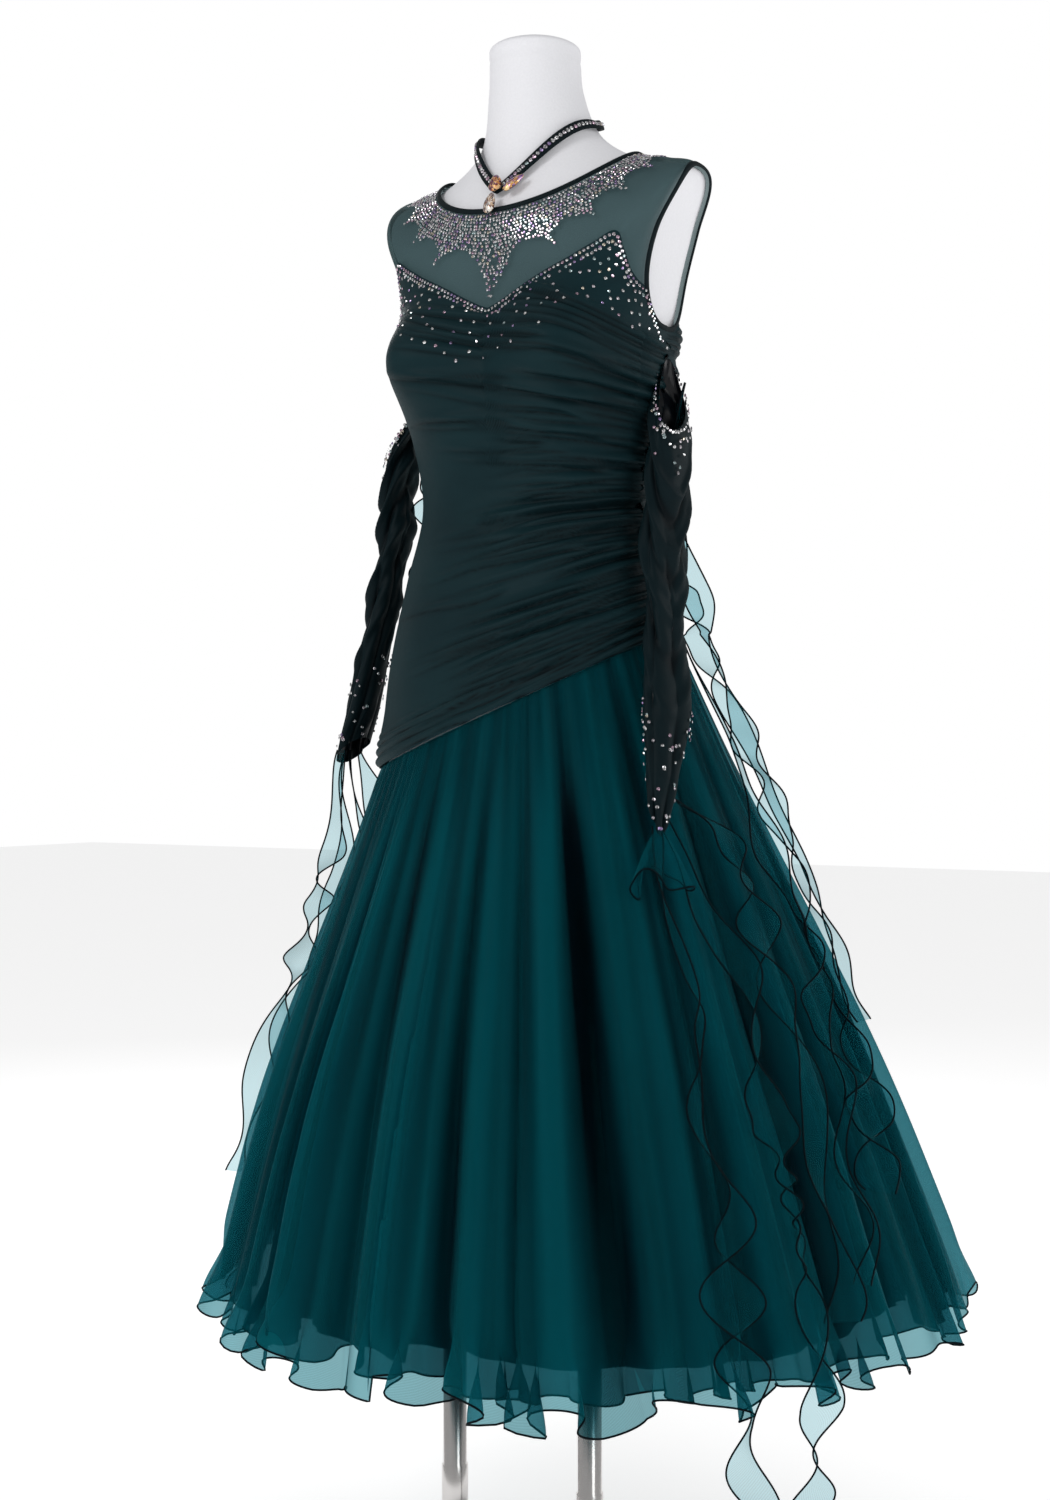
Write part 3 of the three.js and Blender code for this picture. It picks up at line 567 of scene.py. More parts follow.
# Flat tubes carried round the neckline and the armholes.
def makeBindings(p):
    turn = np.arange(p["steps"]) * 360 / p["steps"]
    v = np.full(turn.shape, neckRow - bindingLap)
    path, out = onBody(turn, v, p["neckLift"]), bodyNormal(turn, v)
    obj = makeTube("neckBinding", path, out, p["neckWide"], p["tall"], binding, p["sides"], True)
    standIn(obj, "jersey", "neck_binding")
    for name, sign in (("armhole_binding_left", 1), ("armhole_binding_right", -1)):
        angle, v = armholeEdge(turn, armhole["bindingGrow"])
        path, out = onBody(sign * angle, v, p["armLift"]), bodyNormal(sign * angle, v)
        obj = makeTube(pieceName(name), path, out, p["armWide"], p["tall"], binding, p["sides"], True)
        standIn(obj, "jersey", name)


makeYoke(yokePiece)
makeBindings(bindingPiece)
print("yoke and bindings made")

# The jersey bodice, drawn up at the wearer's left side.
bodicePiece = {"columns": 76, "rows": 360, "creases": 120, "depth": 0.0054, "line": 0.0017, "ridge": 0.0050,
               "trough": 0.0020, "deepest": 0.0030, "lift": 0.0016, "pleats": 36, "pleatDepth": 0.0022,
               "hemFolds": 4, "hemDepth": 0.0042, "hemReach": 0.040, "edgeShare": 0.8, "frontSeed": 11,
               "backSeed": 29}
drape = {"gathered": 90, "low": 1.395, "high": 1.515, "back": 1.425}
hemTurn = ((0.0006, -0.0012), (0.0018, -0.0010), (0.0026, 0.0008), (0.0028, 0.0050))  # inwards, upwards


# Heights of the drape's two bounds at an angle: the slanted hem, and a line that fans out from the
# gathered side. away is 0 at that side and 1 opposite it.
def drapeBounds(angle):
    away = (1 - np.cos(np.radians(angle - drape["gathered"]))) / 2
    ahead = np.cos(np.radians(angle)) > 0
    upper = np.where(ahead, mix(drape["low"], drape["high"], away**0.8), drape["back"])
    return slantHeight(angle), upper, away


# Relief of the drape, and painted shade for its creases, pleat troughs and hem rolls. Each crease is a sharp
# trough with a soft ridge above it, of its own height, drift, length and depth. Close pleats lie at the
# gathered side, and rolled folds along the hem.
def drapeRelief(angle, z, p, seed):
    lower, upper, away = drapeBounds(angle)
    span = upper - lower
    share = (z - lower) / span
    random = np.random.default_rng(seed)
    relief, paintedShade = np.zeros(share.shape), np.zeros(share.shape)
    calm = 1 - 0.8 * smooth((away - 0.55) / 0.3)
    for k in range(p["creases"]):
        at = random.uniform(0.02, 0.98)
        drift = random.uniform(-0.05, 0.05)
        length = random.uniform(0.15, 0.75) + 0.30 * (random.uniform() > 0.75)
        start = random.choice([0.0, random.uniform(0.05, 0.5)], p=[0.62, 0.38])
        depth = random.uniform(0.4, 1.0)
        line = at + drift * away + 0.012 * noise(away * 4 + k, at * 9, seed + 3)
        dist = (share - line) * span
        ended = smooth((away - start - 0.4 * length) / (0.6 * length))
        along = smooth((away - start + 0.05) / 0.07) * (1 - ended) * mix(1.0, 0.75, away)
        ridge = np.exp(-(((dist - 0.0055) / p["ridge"]) ** 2))
        trough = np.exp(-np.abs(dist) / p["trough"])
        relief += p["depth"] * depth * along * calm * 0.8 * (ridge - trough)
        paintedShade = np.maximum(paintedShade, along * mix(0.5, 1.0, depth) * np.exp(-np.abs(dist) / p["line"]))
    wander = 1.3 * noise(share * 20, away * 4, seed + 7)
    pleats = np.abs(np.sin(np.pi * (p["pleats"] * share + wander))) ** 0.6
    near = np.exp(-away / 0.07) * smooth((1.02 - share) / 0.05)
    relief += p["pleatDepth"] * (pleats - 0.5) * near
    paintedShade = np.maximum(paintedShade, near * (1 - smooth(pleats / 0.5)))
    over = (z - lower) / p["hemReach"]
    rolls = np.abs(np.sin(np.pi * p["hemFolds"] * (over + 0.10 * noise(away * 7, over * 2, seed + 9))))
    fade = 1 - smooth((over - 0.55) / 0.6)
    relief += p["hemDepth"] * (rolls**0.7 - 0.35) * fade
    return relief, np.maximum(paintedShade, fade * (1 - smooth(rolls / 0.35)))


# Bodice panels: from the upper edge to the slanted hem by row, moved out by the drape's relief.
def makeBodice(p):
    for name, side in (("bodice_front", 0), ("bodice_back_left", 1), ("bodice_back_right", -1)):
        s, sign = panelShare(p["columns"], side)
        w = np.linspace(0, 1, p["rows"] + 1)[:, None]
        topAngle, topV = seamEdge(s, not side, 180.0, p["edgeShare"])
        bottomAngle = sign * mix(180.0 if side else 0.0, 90.0, s)
        bottomV = rowAt(bottomAngle, slantHeight(bottomAngle))
        angle = mix(sign * topAngle, bottomAngle, w)
        v = mix(topV - 0.02, bottomV, w)
        z = bodyPoint(angle, v)[..., 2]
        around = np.where(angle < 0, angle + 360, angle) if side else angle
        relief, paintedShade = drapeRelief(around, z, p, p["backSeed" if side else "frontSeed"])
        fade = smooth(w / 0.05)
        out = p["lift"] + np.maximum(relief * fade, -p["deepest"])
        points = onBody(angle, v, bodiceOffset(angle, v) + out)
        inward = bodyNormal(angle[-1], v[-1])
        turned = [points[-1] - inward * depth + [0, 0, rise] for depth, rise in hemTurn]
        points = np.concatenate([points, turned])
        last = np.append(np.arange(len(w)), [len(w) - 1] * len(hemTurn))
        uv = joined(angle * 0.0028, v * 0.06)[last]
        # The fold value carries the drape's painted shade in its creases, pleats and hem rolls.
        obj = makeCloth(pieceName(name), points, jersey, uv=uv, fold=(paintedShade * fade)[last])
        standIn(obj, "jersey", name)


makeBodice(bodicePiece)
print("bodice made")

# The skirt: two organza layers and a lining, hung from the slanted edge.
skirtPiece = {"folds": 24, "centre": (0.030, 0.100), "rise": 0.018, "drop": 0.001, "swell": 0.010,
              "deepFold": 35.5, "deepWide": 3.2, "deepIn": 0.026, "edge": 0.0011}
layers = {
    "skirt_outer": {"reach": 0.418, "lift": 0.318, "depth": 0.021, "offset": 0.0046, "gores": 8,
                    "curl": 0.020, "seed": 5, "columns": 1080, "rows": 60, "crowding": 1.5, "slot": "organza",
                    "cloth": organza},
    "skirt_under": {"reach": 0.394, "lift": 0.331, "depth": 0.017, "offset": 0.0026, "gores": 6,
                    "curl": 0.018, "seed": 8, "columns": 900, "rows": 60, "crowding": 1.5, "slot": "organza",
                    "cloth": underOrganza},
    "skirt_lining": {"reach": 0.360, "lift": 0.344, "depth": 0.008, "offset": 0.0008, "gores": 4, "curl": 0.0,
                     "seed": 9, "columns": 360, "rows": 40, "crowding": 1.0, "slot": "lining",
                     "cloth": lining},
}
steps = np.arange(skirtPiece["folds"] + 1)
crests = 15.0 * (steps + 0.22 * np.sin(2.4 * steps) + 0.12 * np.sin(5.1 * steps + 1))
crests[-1] = crests[0] + 360
foldDepths = 0.78 + 0.22 * np.sin(1.7 * steps + 0.6)
foldDepths[-1] = foldDepths[0]


# Fold phase in turns, and the fold's own depth, at an angle.
def foldAt(angle):
    wrapped = (angle - crests[0]) % 360 + crests[0]
    return np.interp(wrapped, crests, steps), np.interp(wrapped, crests, foldDepths)


# A point of a layer at an angle and share w of the way down, and its fold value. It goes straight from the
# waist's edge to a circle at the hem, and is moved out by folds (cosines of the fold phase) that grow
# downwards. At the hem a second wave curls it out, up and sideways. One fold is deeper than the others.
def skirtPoint(angle, w, layer):
    p, seed = skirtPiece, layer["seed"]
    lean = 1.6 * noise(angle / 9.0, w * 2.2, 40) * smooth(w * 1.5)
    phase, own = foldAt(angle + lean)
    pleat = 2 * np.abs(np.cos(np.pi * phase)) ** 0.62 - 1
    small = np.cos(2 * np.pi * (2 * phase + 0.3 * np.sin(phase * 1.9)))
    fromDeep = ((angle - p["deepFold"] + 180) % 360 - 180) / p["deepWide"]
    deep = np.exp(-(fromDeep**2)) * smooth((w - 0.08) / 0.3) * (1 - smooth((w - 0.8) / 0.25))
    fold = layer["depth"] * smooth((w - 0.01) / 0.75) * (own * pleat + 0.34 * small * smooth(w * 1.6))
    fold = fold - p["deepIn"] * deep
    fold = fold + 0.0012 * np.cos(2 * np.pi * 3 * phase) * np.exp(-w / 0.10) * smooth(w / 0.01)
    ripple = 2 * np.pi * (1.35 * phase + 1.1 * noise(phase * 0.8, 3.0, seed + 1))
    strength = 0.65 + 0.5 * noise(phase * 0.7, 8.0, seed + 2)
    curl = layer["curl"] * smooth((w - 0.87) / 0.13) ** 1.5 * strength
    sideways = np.sin(2 * ripple + 1.3 + 2 * noise(phase * 1.1, 5.0, seed + 4))
    turned = np.radians(angle + np.degrees(curl * 0.75 * sideways / 0.42))
    x, y = np.sin(turned), -np.cos(turned)
    waist = rowAt(angle[0], slantHeight(angle[0]) - p["drop"])
    top = onBody(angle[0], waist, layer["offset"])
    hem = joined(p["centre"][0] + layer["reach"] * x, p["centre"][1] + layer["reach"] * y,
                 layer["lift"] + p["rise"] * np.maximum(0, -np.sin(np.radians(angle))))
    out = fold + p["swell"] * np.sin(np.pi * w) + curl * np.sin(ripple)
    sag = 0.012 * noise(phase * 0.5, 1.0, seed + 3) * w**2 + curl * 0.60 * np.cos(ripple + 0.6)
    lift = sag + 0.22 * np.maximum(out - p["swell"], 0) * w**3
    # The fold value: painted light on the crests, painted shade in the valleys and in the deep fold.
    crestLightAndShade = 0.5 + 0.5 * (0.75 * own * pleat + 0.40 * small) - 0.8 * deep
    points = mix(top, hem, w[..., None]) + joined(x * out, y * out, lift)
    return points, mix(0.5, np.clip(crestLightAndShade, 0, 1), smooth((w - 0.01) / 0.25))


# A rolled dark edge: a thin round tube on a closed hem.
def makeHemCord(name, hem, thick):
    cord = makeTube(name, hem, upright, thick, thick, cordBlack, 5, True)
    return cord


def makeSkirt(p):
    for name, layer in layers.items():
        columns, rows = layer["columns"], layer["rows"]
        w = 1 - (1 - np.linspace(0, 1, rows + 1)) ** layer["crowding"]
        angle, down = np.meshgrid(np.arange(columns) * 360 / columns, w)
        points, fold = skirtPoint(angle, down, layer)
        points = np.concatenate([points, points[:, :1]], axis=1)
        fold = np.concatenate([fold, fold[:, :1]], axis=1)
        uv = joined(np.linspace(0, 2.7, columns + 1)[None], (w * 0.72)[:, None])
        obj = makeCloth(pieceName(name), points, layer["cloth"], uv=uv, fold=fold)
        standIn(obj, layer["slot"], *[name + "_" + str(k + 1) for k in range(layer["gores"])])
        if layer["curl"]:
            makeHemCord(pieceName(name) + "Edge", points[-1][:-1], p["edge"])


makeSkirt(skirtPiece)
print("skirt made")

# The hanging sleeves. Each row of a path: height, place across and ahead, half width, half thickness.
sleevePiece = {"columns": 96, "rows": 150, "crease": 0.0066, "lift": 0.0010, "inside": -0.0004}
sleeveTables = {
    "left": {"side": 1, "droop": 0.084, "point": 0.060, "face": 30, "seed": 60, "flat": (0.155, 0.50),
             "path": np.array([
        [1.378, 0.171, 0.031, 0.009, 0.005], [1.300, 0.177, 0.022, 0.026, 0.015],
        [1.190, 0.181, 0.003, 0.027, 0.015], [1.080, 0.197, -0.026, 0.023, 0.013],
        [0.975, 0.218, -0.062, 0.026, 0.011], [0.862, 0.232, -0.108, 0.006, 0.005]])},
    "right": {"side": -1, "droop": 0.070, "point": 0.030, "face": 20, "seed": 70, "flat": (0.14, 0.42),
              "path": np.array([
        [1.366, -0.171, 0.044, 0.009, 0.005], [1.290, -0.190, 0.038, 0.022, 0.013],
        [1.190, -0.196, 0.030, 0.022, 0.014], [1.080, -0.214, 0.022, 0.023, 0.014],
        [1.000, -0.230, 0.016, 0.024, 0.013], [0.935, -0.246, 0.012, 0.026, 0.010]])},
}
# Cowl folds: share of the way down, width and depth, a ridge if above 0.
cowlFolds = ((0.05, 0.018, 1.0), (0.11, 0.022, -1.0), (0.18, 0.020, 1.0), (0.26, 0.028, -1.0),
             (0.36, 0.024, 0.9), (0.47, 0.034, -0.8), (0.58, 0.024, 0.6))


# A point at u round and w down: an ellipse carried down the path, whose rim droops toward face and whose
# lower end comes to a point on the outside.
def sleevePoint(u, w, sleeve, out=0.0):
    path = sleeve["path"]
    turn = 2 * np.pi * u
    outward = (1 - np.cos(turn)) / 2
    rim = (1 - np.cos(turn - np.radians(sleeve["face"]))) / 2
    z = mix(path[0, 0] - sleeve["droop"] * rim**1.3, path[-1, 0] + sleeve["point"] * (1 - outward), w)
    row = np.interp(-z, -path[:, 0], np.arange(len(path), dtype=float))
    x, y, across, through = (columnAt(path[:, k], row) for k in range(1, 5))
    lean = np.arctan2(y - 0.040, x)
    away = joined(np.cos(lean), np.sin(lean), 0 * lean)
    along = joined(-np.sin(lean), np.cos(lean), 0 * lean)
    return (joined(x, y, z) - away * (np.cos(turn) * (through + out))[..., None]
            + along * (sleeve["side"] * np.sin(turn) * (across + out))[..., None])


# Soft folds: long ones down the sleeve, and cowl folds that sag between the two edges below the cuff.
def sleeveRelief(u, w, p, seed):
    turn = 2 * np.pi * u
    drift = 0.5 * noise(w * 1.6, 2.0, seed) + 0.9 * w
    long = np.abs(np.sin(2.5 * turn + 2.2 * drift)) ** 0.5 - 0.6
    sagged = w - 0.13 * (1 - np.abs(2 * u - 1)) + 0.012 * noise(u * 5, w * 6, seed + 1)
    cowl = sum(deep * np.exp(-(((sagged - at) / wide) ** 2)) for at, wide, deep in cowlFolds)
    pinch = 0.35 * noise(u * 9, w * 14 + u * 8, seed + 2)
    return p["crease"] * (0.9 * long * smooth((w - 0.15) / 0.35) + 0.8 * cowl + pinch) * smooth(w / 0.05)


def makeSleeves(p):
    for side, sleeve in sleeveTables.items():
        u = (np.arange(p["columns"]) / p["columns"])[None]
        w = np.linspace(0, 1, p["rows"] + 1)[:, None]
        relief = sleeveRelief(u, w, p, sleeve["seed"])
        points = sleevePoint(u, w, sleeve, relief + p["lift"])
        points = np.concatenate([points, points[:, :1]], axis=1)
        uv = joined(np.linspace(0, 0.16, p["columns"] + 1)[None], np.linspace(0, 0.5, len(points))[:, None])
        shade = 0.8 * smooth((-relief / p["crease"] - 0.1) / 0.6)
        shade = np.concatenate([shade, shade[:, :1]], axis=1)
        obj = makeCloth("sleeve" + side.title(), points, sleeveJersey, uv=uv, fold=shade)
        standIn(obj, "jersey", "sleeve_" + side)
        inside = sleevePoint(u[:, ::2], w[::2] * 0.99 + 0.004, sleeve, relief[::2, ::2] + p["inside"])
        inside = np.concatenate([inside, inside[:, :1]], axis=1)
        makeCloth("sleeveInside" + side.title(), inside, insideSatin)


makeSleeves(sleevePiece)
print("sleeves made")

# The floats: spiral-cut strips with a rolled dark edge.
floatPiece = {"steps": 240, "across": 8, "sway": 0.012, "edge": 0.0010, "period": 0.13, "wave": 0.016,
              "clear": 0.006,
              "envelope": {"lift": 0.316, "reach": 0.417, "offset": 0.0054, "fold": 0.020, "body": 0.0015}}
# Each row: start; top height, angle and clearance; end height, angle and clearance; reach; twist at the top.
floatTable = {
    "float_left_1": ((0.186, 0.040, 1.350), (1.330, 112, 0.038), (0.500, 82, 0.024), 0.016, 0),
    "float_left_2": ((0.176, 0.048, 1.330), (1.230, 128, 0.026), (0.660, 98, 0.024), 0.015, 90),
    "float_left_3": ((0.205, 0.005, 1.060), (1.050, 95, 0.030), (0.420, 73.5, 0.022), 0.016, 200),
    "float_left_4": ((0.226, -0.085, 0.915), (0.930, 79, 0.026), (0.390, 65.5, 0.022), 0.016, 40),
    "float_left_5": ((0.232, -0.100, 0.885), (0.850, 65, 0.024), (0.200, 57.5, 0.022), 0.016, 150),
    "float_left_6": ((0.232, -0.110, 0.872), (0.800, 52, 0.024), (0.160, 49.5, 0.022), 0.016, 260),
    "float_right_1": ((-0.178, 0.052, 1.345), (1.320, -112, 0.034), (0.960, -112, 0.038), 0.015, 30),
    "float_right_2": ((-0.250, 0.034, 0.958), (0.925, -104, 0.030), (0.420, -98, 0.024), 0.016, 240),
    "float_right_3": ((-0.252, 0.020, 0.950), (0.905, -92, 0.024), (0.520, -89, 0.022), 0.015, 330),
    "float_right_4": ((-0.250, 0.004, 0.945), (0.895, -80, 0.024), (0.290, -80, 0.022), 0.016, 60),
    "float_right_5": ((-0.244, -0.008, 0.950), (0.895, -67, 0.024), (0.450, -70, 0.022), 0.015, 180),
}


# The outside of the dress at an angle and height: the bodice, or the crests of the outer skirt.
def outside(angle, z, p):
    edge, (middleX, middleY) = slantHeight(angle), skirtPiece["centre"]
    v = rowAt(angle, z)
    body = onBody(angle, v, bodiceOffset(angle, v) + p["body"])
    w = np.clip((edge - z) / (edge - p["lift"]), 0, 1)
    top = onBody(angle, rowAt(angle, edge - skirtPiece["drop"]), p["offset"])
    x, y = np.sin(np.radians(angle)), -np.cos(np.radians(angle))
    hem = joined(middleX + p["reach"] * x, middleY + p["reach"] * y, p["lift"] + 0 * x)
    out = p["fold"] * smooth((w - 0.04) / 0.9) + skirtPiece["swell"] * np.sin(np.pi * w)
    skirt = mix(top, hem, w[:, None]) + joined(x * out, y * out, 0 * x)
    return np.where((z >= edge)[:, None], body, skirt)


# A strip follows a line down the outside of the dress at its clearance. It twists to and fro by a sine, its
# width and its two edges wave by noise and sines, and it is kept clear of the dress.
def makeFloats(p):
    for index, (name, row) in enumerate(floatTable.items()):
        place, (zTop, angleTop, clearTop), (zEnd, angleEnd, clearEnd), reach, phase = row
        w = np.linspace(0, 1, p["steps"])
        z, angle = mix(zTop, zEnd, w), mix(angleTop, angleEnd, w)
        base = outside(angle, z, p["envelope"])
        base[:, 2] = z
        away = joined(np.sin(np.radians(angle)), -np.cos(np.radians(angle)), 0 * w)
        side = joined(-away[:, 1], away[:, 0], 0 * w)
        span = (zTop - zEnd) / p["period"]
        sway = p["sway"] * noise(w * span * 1.3, index * 7.0, 81) * smooth(w * 8)
        axis = base + away * mix(clearTop, clearEnd, w)[:, None] + side * sway[:, None]
        axis = axis + (np.array(place) - axis[0]) * (1 - smooth(w / 0.16))[:, None]
        drift = 0.9 * noise(w * span * 0.6, index * 3.0, 83)
        turn = np.radians(phase) + 1.5 * np.sin(2 * np.pi * (0.5 * span * w + drift)) + 2.0 * w
        width = reach * mix(0.35, 1.0, smooth(6 * w)) * (0.8 + 0.5 * noise(w * span * 0.7, index * 5.0, 85))
        across = joined(np.cos(turn), np.sin(turn), 0 * w)
        through = joined(-np.sin(turn), np.cos(turn), 0 * w)
        s = np.linspace(-1, 1, p["across"] + 1)
        wave = 2 * np.pi * (w * span + 0.8 * noise(w * span * 0.5, index * 2.0, 87))
        inner, outer = np.sin(wave), np.sin(wave * 0.83 + 2.2 + index)
        push = mix(inner[:, None], outer[:, None], (s[None] + 1) / 2) * p["wave"] * smooth(w * 8)[:, None]
        points = axis[:, None] + across[:, None] * (width[:, None] * (0.9 * s))[..., None]
        points = points + side[:, None] * push[..., None] + through[:, None] * (0.3 * push)[..., None]
        apart = ((points - base[:, None]) * away[:, None]).sum(-1)
        points = points + away[:, None] * np.maximum(p["clear"] - apart, 0)[..., None]
        uv = joined(s[None] * 0.02, (w * (zTop - zEnd))[:, None])
        obj = makeCloth(pieceName(name), points, floatOrganza, uv=uv)
        standIn(obj, "organza", name)
        thick = p["edge"]
        cords = [makeTube(name + "Edge", points[:, k], through, thick, thick, cordBlack, 5) for k in (0, -1)]
        cord = joinObjects(obj.name + "Edge", cords)


makeFloats(floatPiece)
print("floats made")

# The ruffle at the tip of the left sleeve.
rufflePiece = {"centre": (0.236, -0.112, 0.868), "wide": 0.034, "deep": 0.062, "steps": 90, "rows": 16,
               "top": 0.004, "edge": 0.001, "flatDeep": 0.074, "coneShare": 0.55}


# A short open cone of organza whose hem waves. Its upper rim is gathered into the sleeve's tip.
def makeRuffle(p):
    turn = np.linspace(0, 2 * np.pi, p["steps"] + 1)[None, :-1]
    w = np.linspace(0, 1, p["rows"] + 1)[:, None]
    x, y, z = p["centre"]
    wave = np.sin(3 * turn + 0.8) + 0.5 * np.sin(5 * turn + 2.0)
    out = mix(p["top"], p["wide"], w**0.7) * (1 + 0.22 * wave * w)
    drop = p["deep"] * w * (0.85 + 0.18 * np.cos(2 * turn - 0.5)) - 0.006 * wave * w
    points = joined(x + out * np.cos(turn) * 0.9, y + out * np.sin(turn) * 0.8, z - drop)
    points = np.concatenate([points, points[:, :1]], axis=1)
    uv = joined(np.linspace(0, 0.2, p["steps"] + 1)[None], 0.07 * w)
    ruffle = makeCloth("sleeveRuffle", points, floatOrganza, uv=uv)
    cord = makeHemCord("sleeveRuffleEdge", points[-1][:-1], p["edge"])


makeRuffle(rufflePiece)
print("ruffle made")

# The small stones.
palette = np.array([[0.92, 0.92, 0.95], [0.80, 0.74, 0.80], [0.75, 0.52, 0.66], [0.42, 0.30, 0.58],
                    [0.55, 0.70, 0.72], [0.90, 0.80, 0.66]])
paletteOdds = [0.40, 0.22, 0.14, 0.12, 0.07, 0.05]
stoneShape = {"sides": 8, "height": 0.55, "levels": ((1.0, 0.0), (0.98, 0.18), (0.52, 0.55)),
              "shine": [0.18, 0.5, 1.1], "paintedGlintOdds": [0.38, 0.27, 0.35]}


# A tint for each face, with full cover.
def tintFaces(obj, colors):
    layer = obj.data.attributes.new("tint", "FLOAT_COLOR", "FACE")
    tints = np.concatenate([colors, np.ones((len(colors), 1))], 1)
    layer.data.foreach_set("color", tints.astype(np.float32).ravel())


# Many cut stones in one mesh: rings of a share of the radius at a share of it in height, and a top point.
# Each stone has its own size, turn and tint, and each facet its own painted glint: a tint made darker or
# brighter.
def makeStones(name, centres, normals, radius, seed):
    random = np.random.default_rng(seed)
    count, sides, levels = len(centres), stoneShape["sides"], stoneShape["levels"]
    radius = np.broadcast_to(radius, (count,)) * random.uniform(0.9, 1.1, count)
    helper = np.where(np.abs(normals[:, 2:]) < 0.9, [[0, 0, 1.0]], [[1.0, 0, 0]])
    right = unit(np.cross(helper, normals))
    up = np.cross(normals, right)
    turn = np.linspace(0, 2 * np.pi, sides, endpoint=False)[None] + random.uniform(0, 7, count)[:, None]
    ring = right[:, None] * np.cos(turn)[..., None] + up[:, None] * np.sin(turn)[..., None]
    wide = radius[:, None, None]
    points = [centres[:, None] + ring * (wide * share) + normals[:, None] * (wide * lift)
              for share, lift in levels]
    points.append((centres + normals * (radius * stoneShape["height"])[:, None])[:, None])
    points = np.concatenate(points, axis=1)
    each = len(levels) * sides + 1
    k = np.arange(sides)
    following = (k + 1) % sides
    quads = gridFaces(len(levels) - 1, sides, True)[:, [0, 3, 2, 1]]
    last = (len(levels) - 1) * sides
    fans = np.stack([last + k, last + following, np.full(sides, each - 1)], -1)
    triangles = np.concatenate([quads[:, [0, 1, 2]], quads[:, [0, 2, 3]], fans])
    faces = (triangles[None] + (np.arange(count) * each)[:, None, None]).reshape(-1, 3)
    obj = makeMesh(name, points, faces, stone, smoothShade=False)
    tints = palette[random.choice(len(palette), count, p=paletteOdds)]
    # Painted glints: each facet's tint is made darker or brighter at random.
    shine = random.choice(stoneShape["shine"], (count, len(triangles), 1), p=stoneShape["paintedGlintOdds"])
    tintFaces(obj, np.clip(tints[:, None] * shine, 0, 1).reshape(-1, 3))
    return obj


# Rows of stones measured out over the surface from the neckline, ending in arches between points.
collarPiece = {"pitch": 0.0043, "rowPitch": 0.0038, "first": 0.0028, "deepest": 0.104, "radius": 0.0017,
               "base": 0.042, "side": 0.028, "back": 0.014, "point": 0.026, "middle": 0.036, "middleWide": 9,
               "spacing": 18.0, "lastPoint": 84, "lift": 0.0012}


# Depth = base + point (1 - sqrt(1 - q squared)), q being 1 at a point and 0 between two.
def collarDepth(angle, p):
    away = np.abs((angle + 180) % 360 - 180)
    base = mix(mix(p["base"], p["side"], smooth(away / 80)), p["back"], smooth((away - 80) / 40))
    q = 1 - 2 * np.abs((away / p["spacing"] + 0.5) % 1 - 0.5)
    longest = p["point"] + p["middle"] * np.exp(-((away / p["middleWide"]) ** 2))
    arch = 1 - np.sqrt(1 - np.clip(q, 0, 1) ** 2)
    return base + longest * (1 - smooth((away - p["lastPoint"]) / 8)) * arch


def makeCollar(p):
    random = np.random.default_rng(3)
    grid = np.arange(-180, 180.5, 1.0)
    v = np.linspace(neckRow + bindingLap, 8.0, 160)
    line = bodyPoint(grid[:, None], v[None])
    strides = np.linalg.norm(np.diff(line, axis=1), axis=2)
    length = np.concatenate([np.zeros((len(grid), 1)), strides.cumsum(1)], 1)
    centres, normals = [], []
    for row in range(int(p["deepest"] / p["rowPitch"])):
        depth = p["first"] + row * p["rowPitch"]
        rowV = np.array([np.interp(depth, each, v) for each in length])
        total = lengthAlong(bodyPoint(grid, rowV))
        at = (np.arange(0.5 * (row % 2), total[-1] / p["pitch"]) + 0.37 * np.sin(row * 1.7)) * p["pitch"]
        angle = np.interp(at, total, grid) + random.normal(0, 0.22, len(at))
        there = random.uniform(0, 1, len(at)) > 0.02 + 0.1 * (depth > 0.045)
        angle = angle[(depth < collarDepth(angle, p)) & there]
        place = np.interp(angle, grid, rowV) + random.normal(0, 0.012, len(angle))
        centres.append(onBody(angle, place, p["lift"]))
        normals.append(bodyNormal(angle, place))
    return makeStones("collarStones", np.concatenate(centres), np.concatenate(normals), p["radius"], 5)


edgePiece = {"radius": 0.0019, "pitch": 0.0052, "scatter": 210, "reach": 0.085, "past": 16, "pastDrop": 0.055,
             "under": 0.0035, "secondUnder": 0.0075, "secondShare": 0.75, "lowest": 1.365, "apart": 0.0085,
             "perRadian": 0.13, "lift": 0.0018}


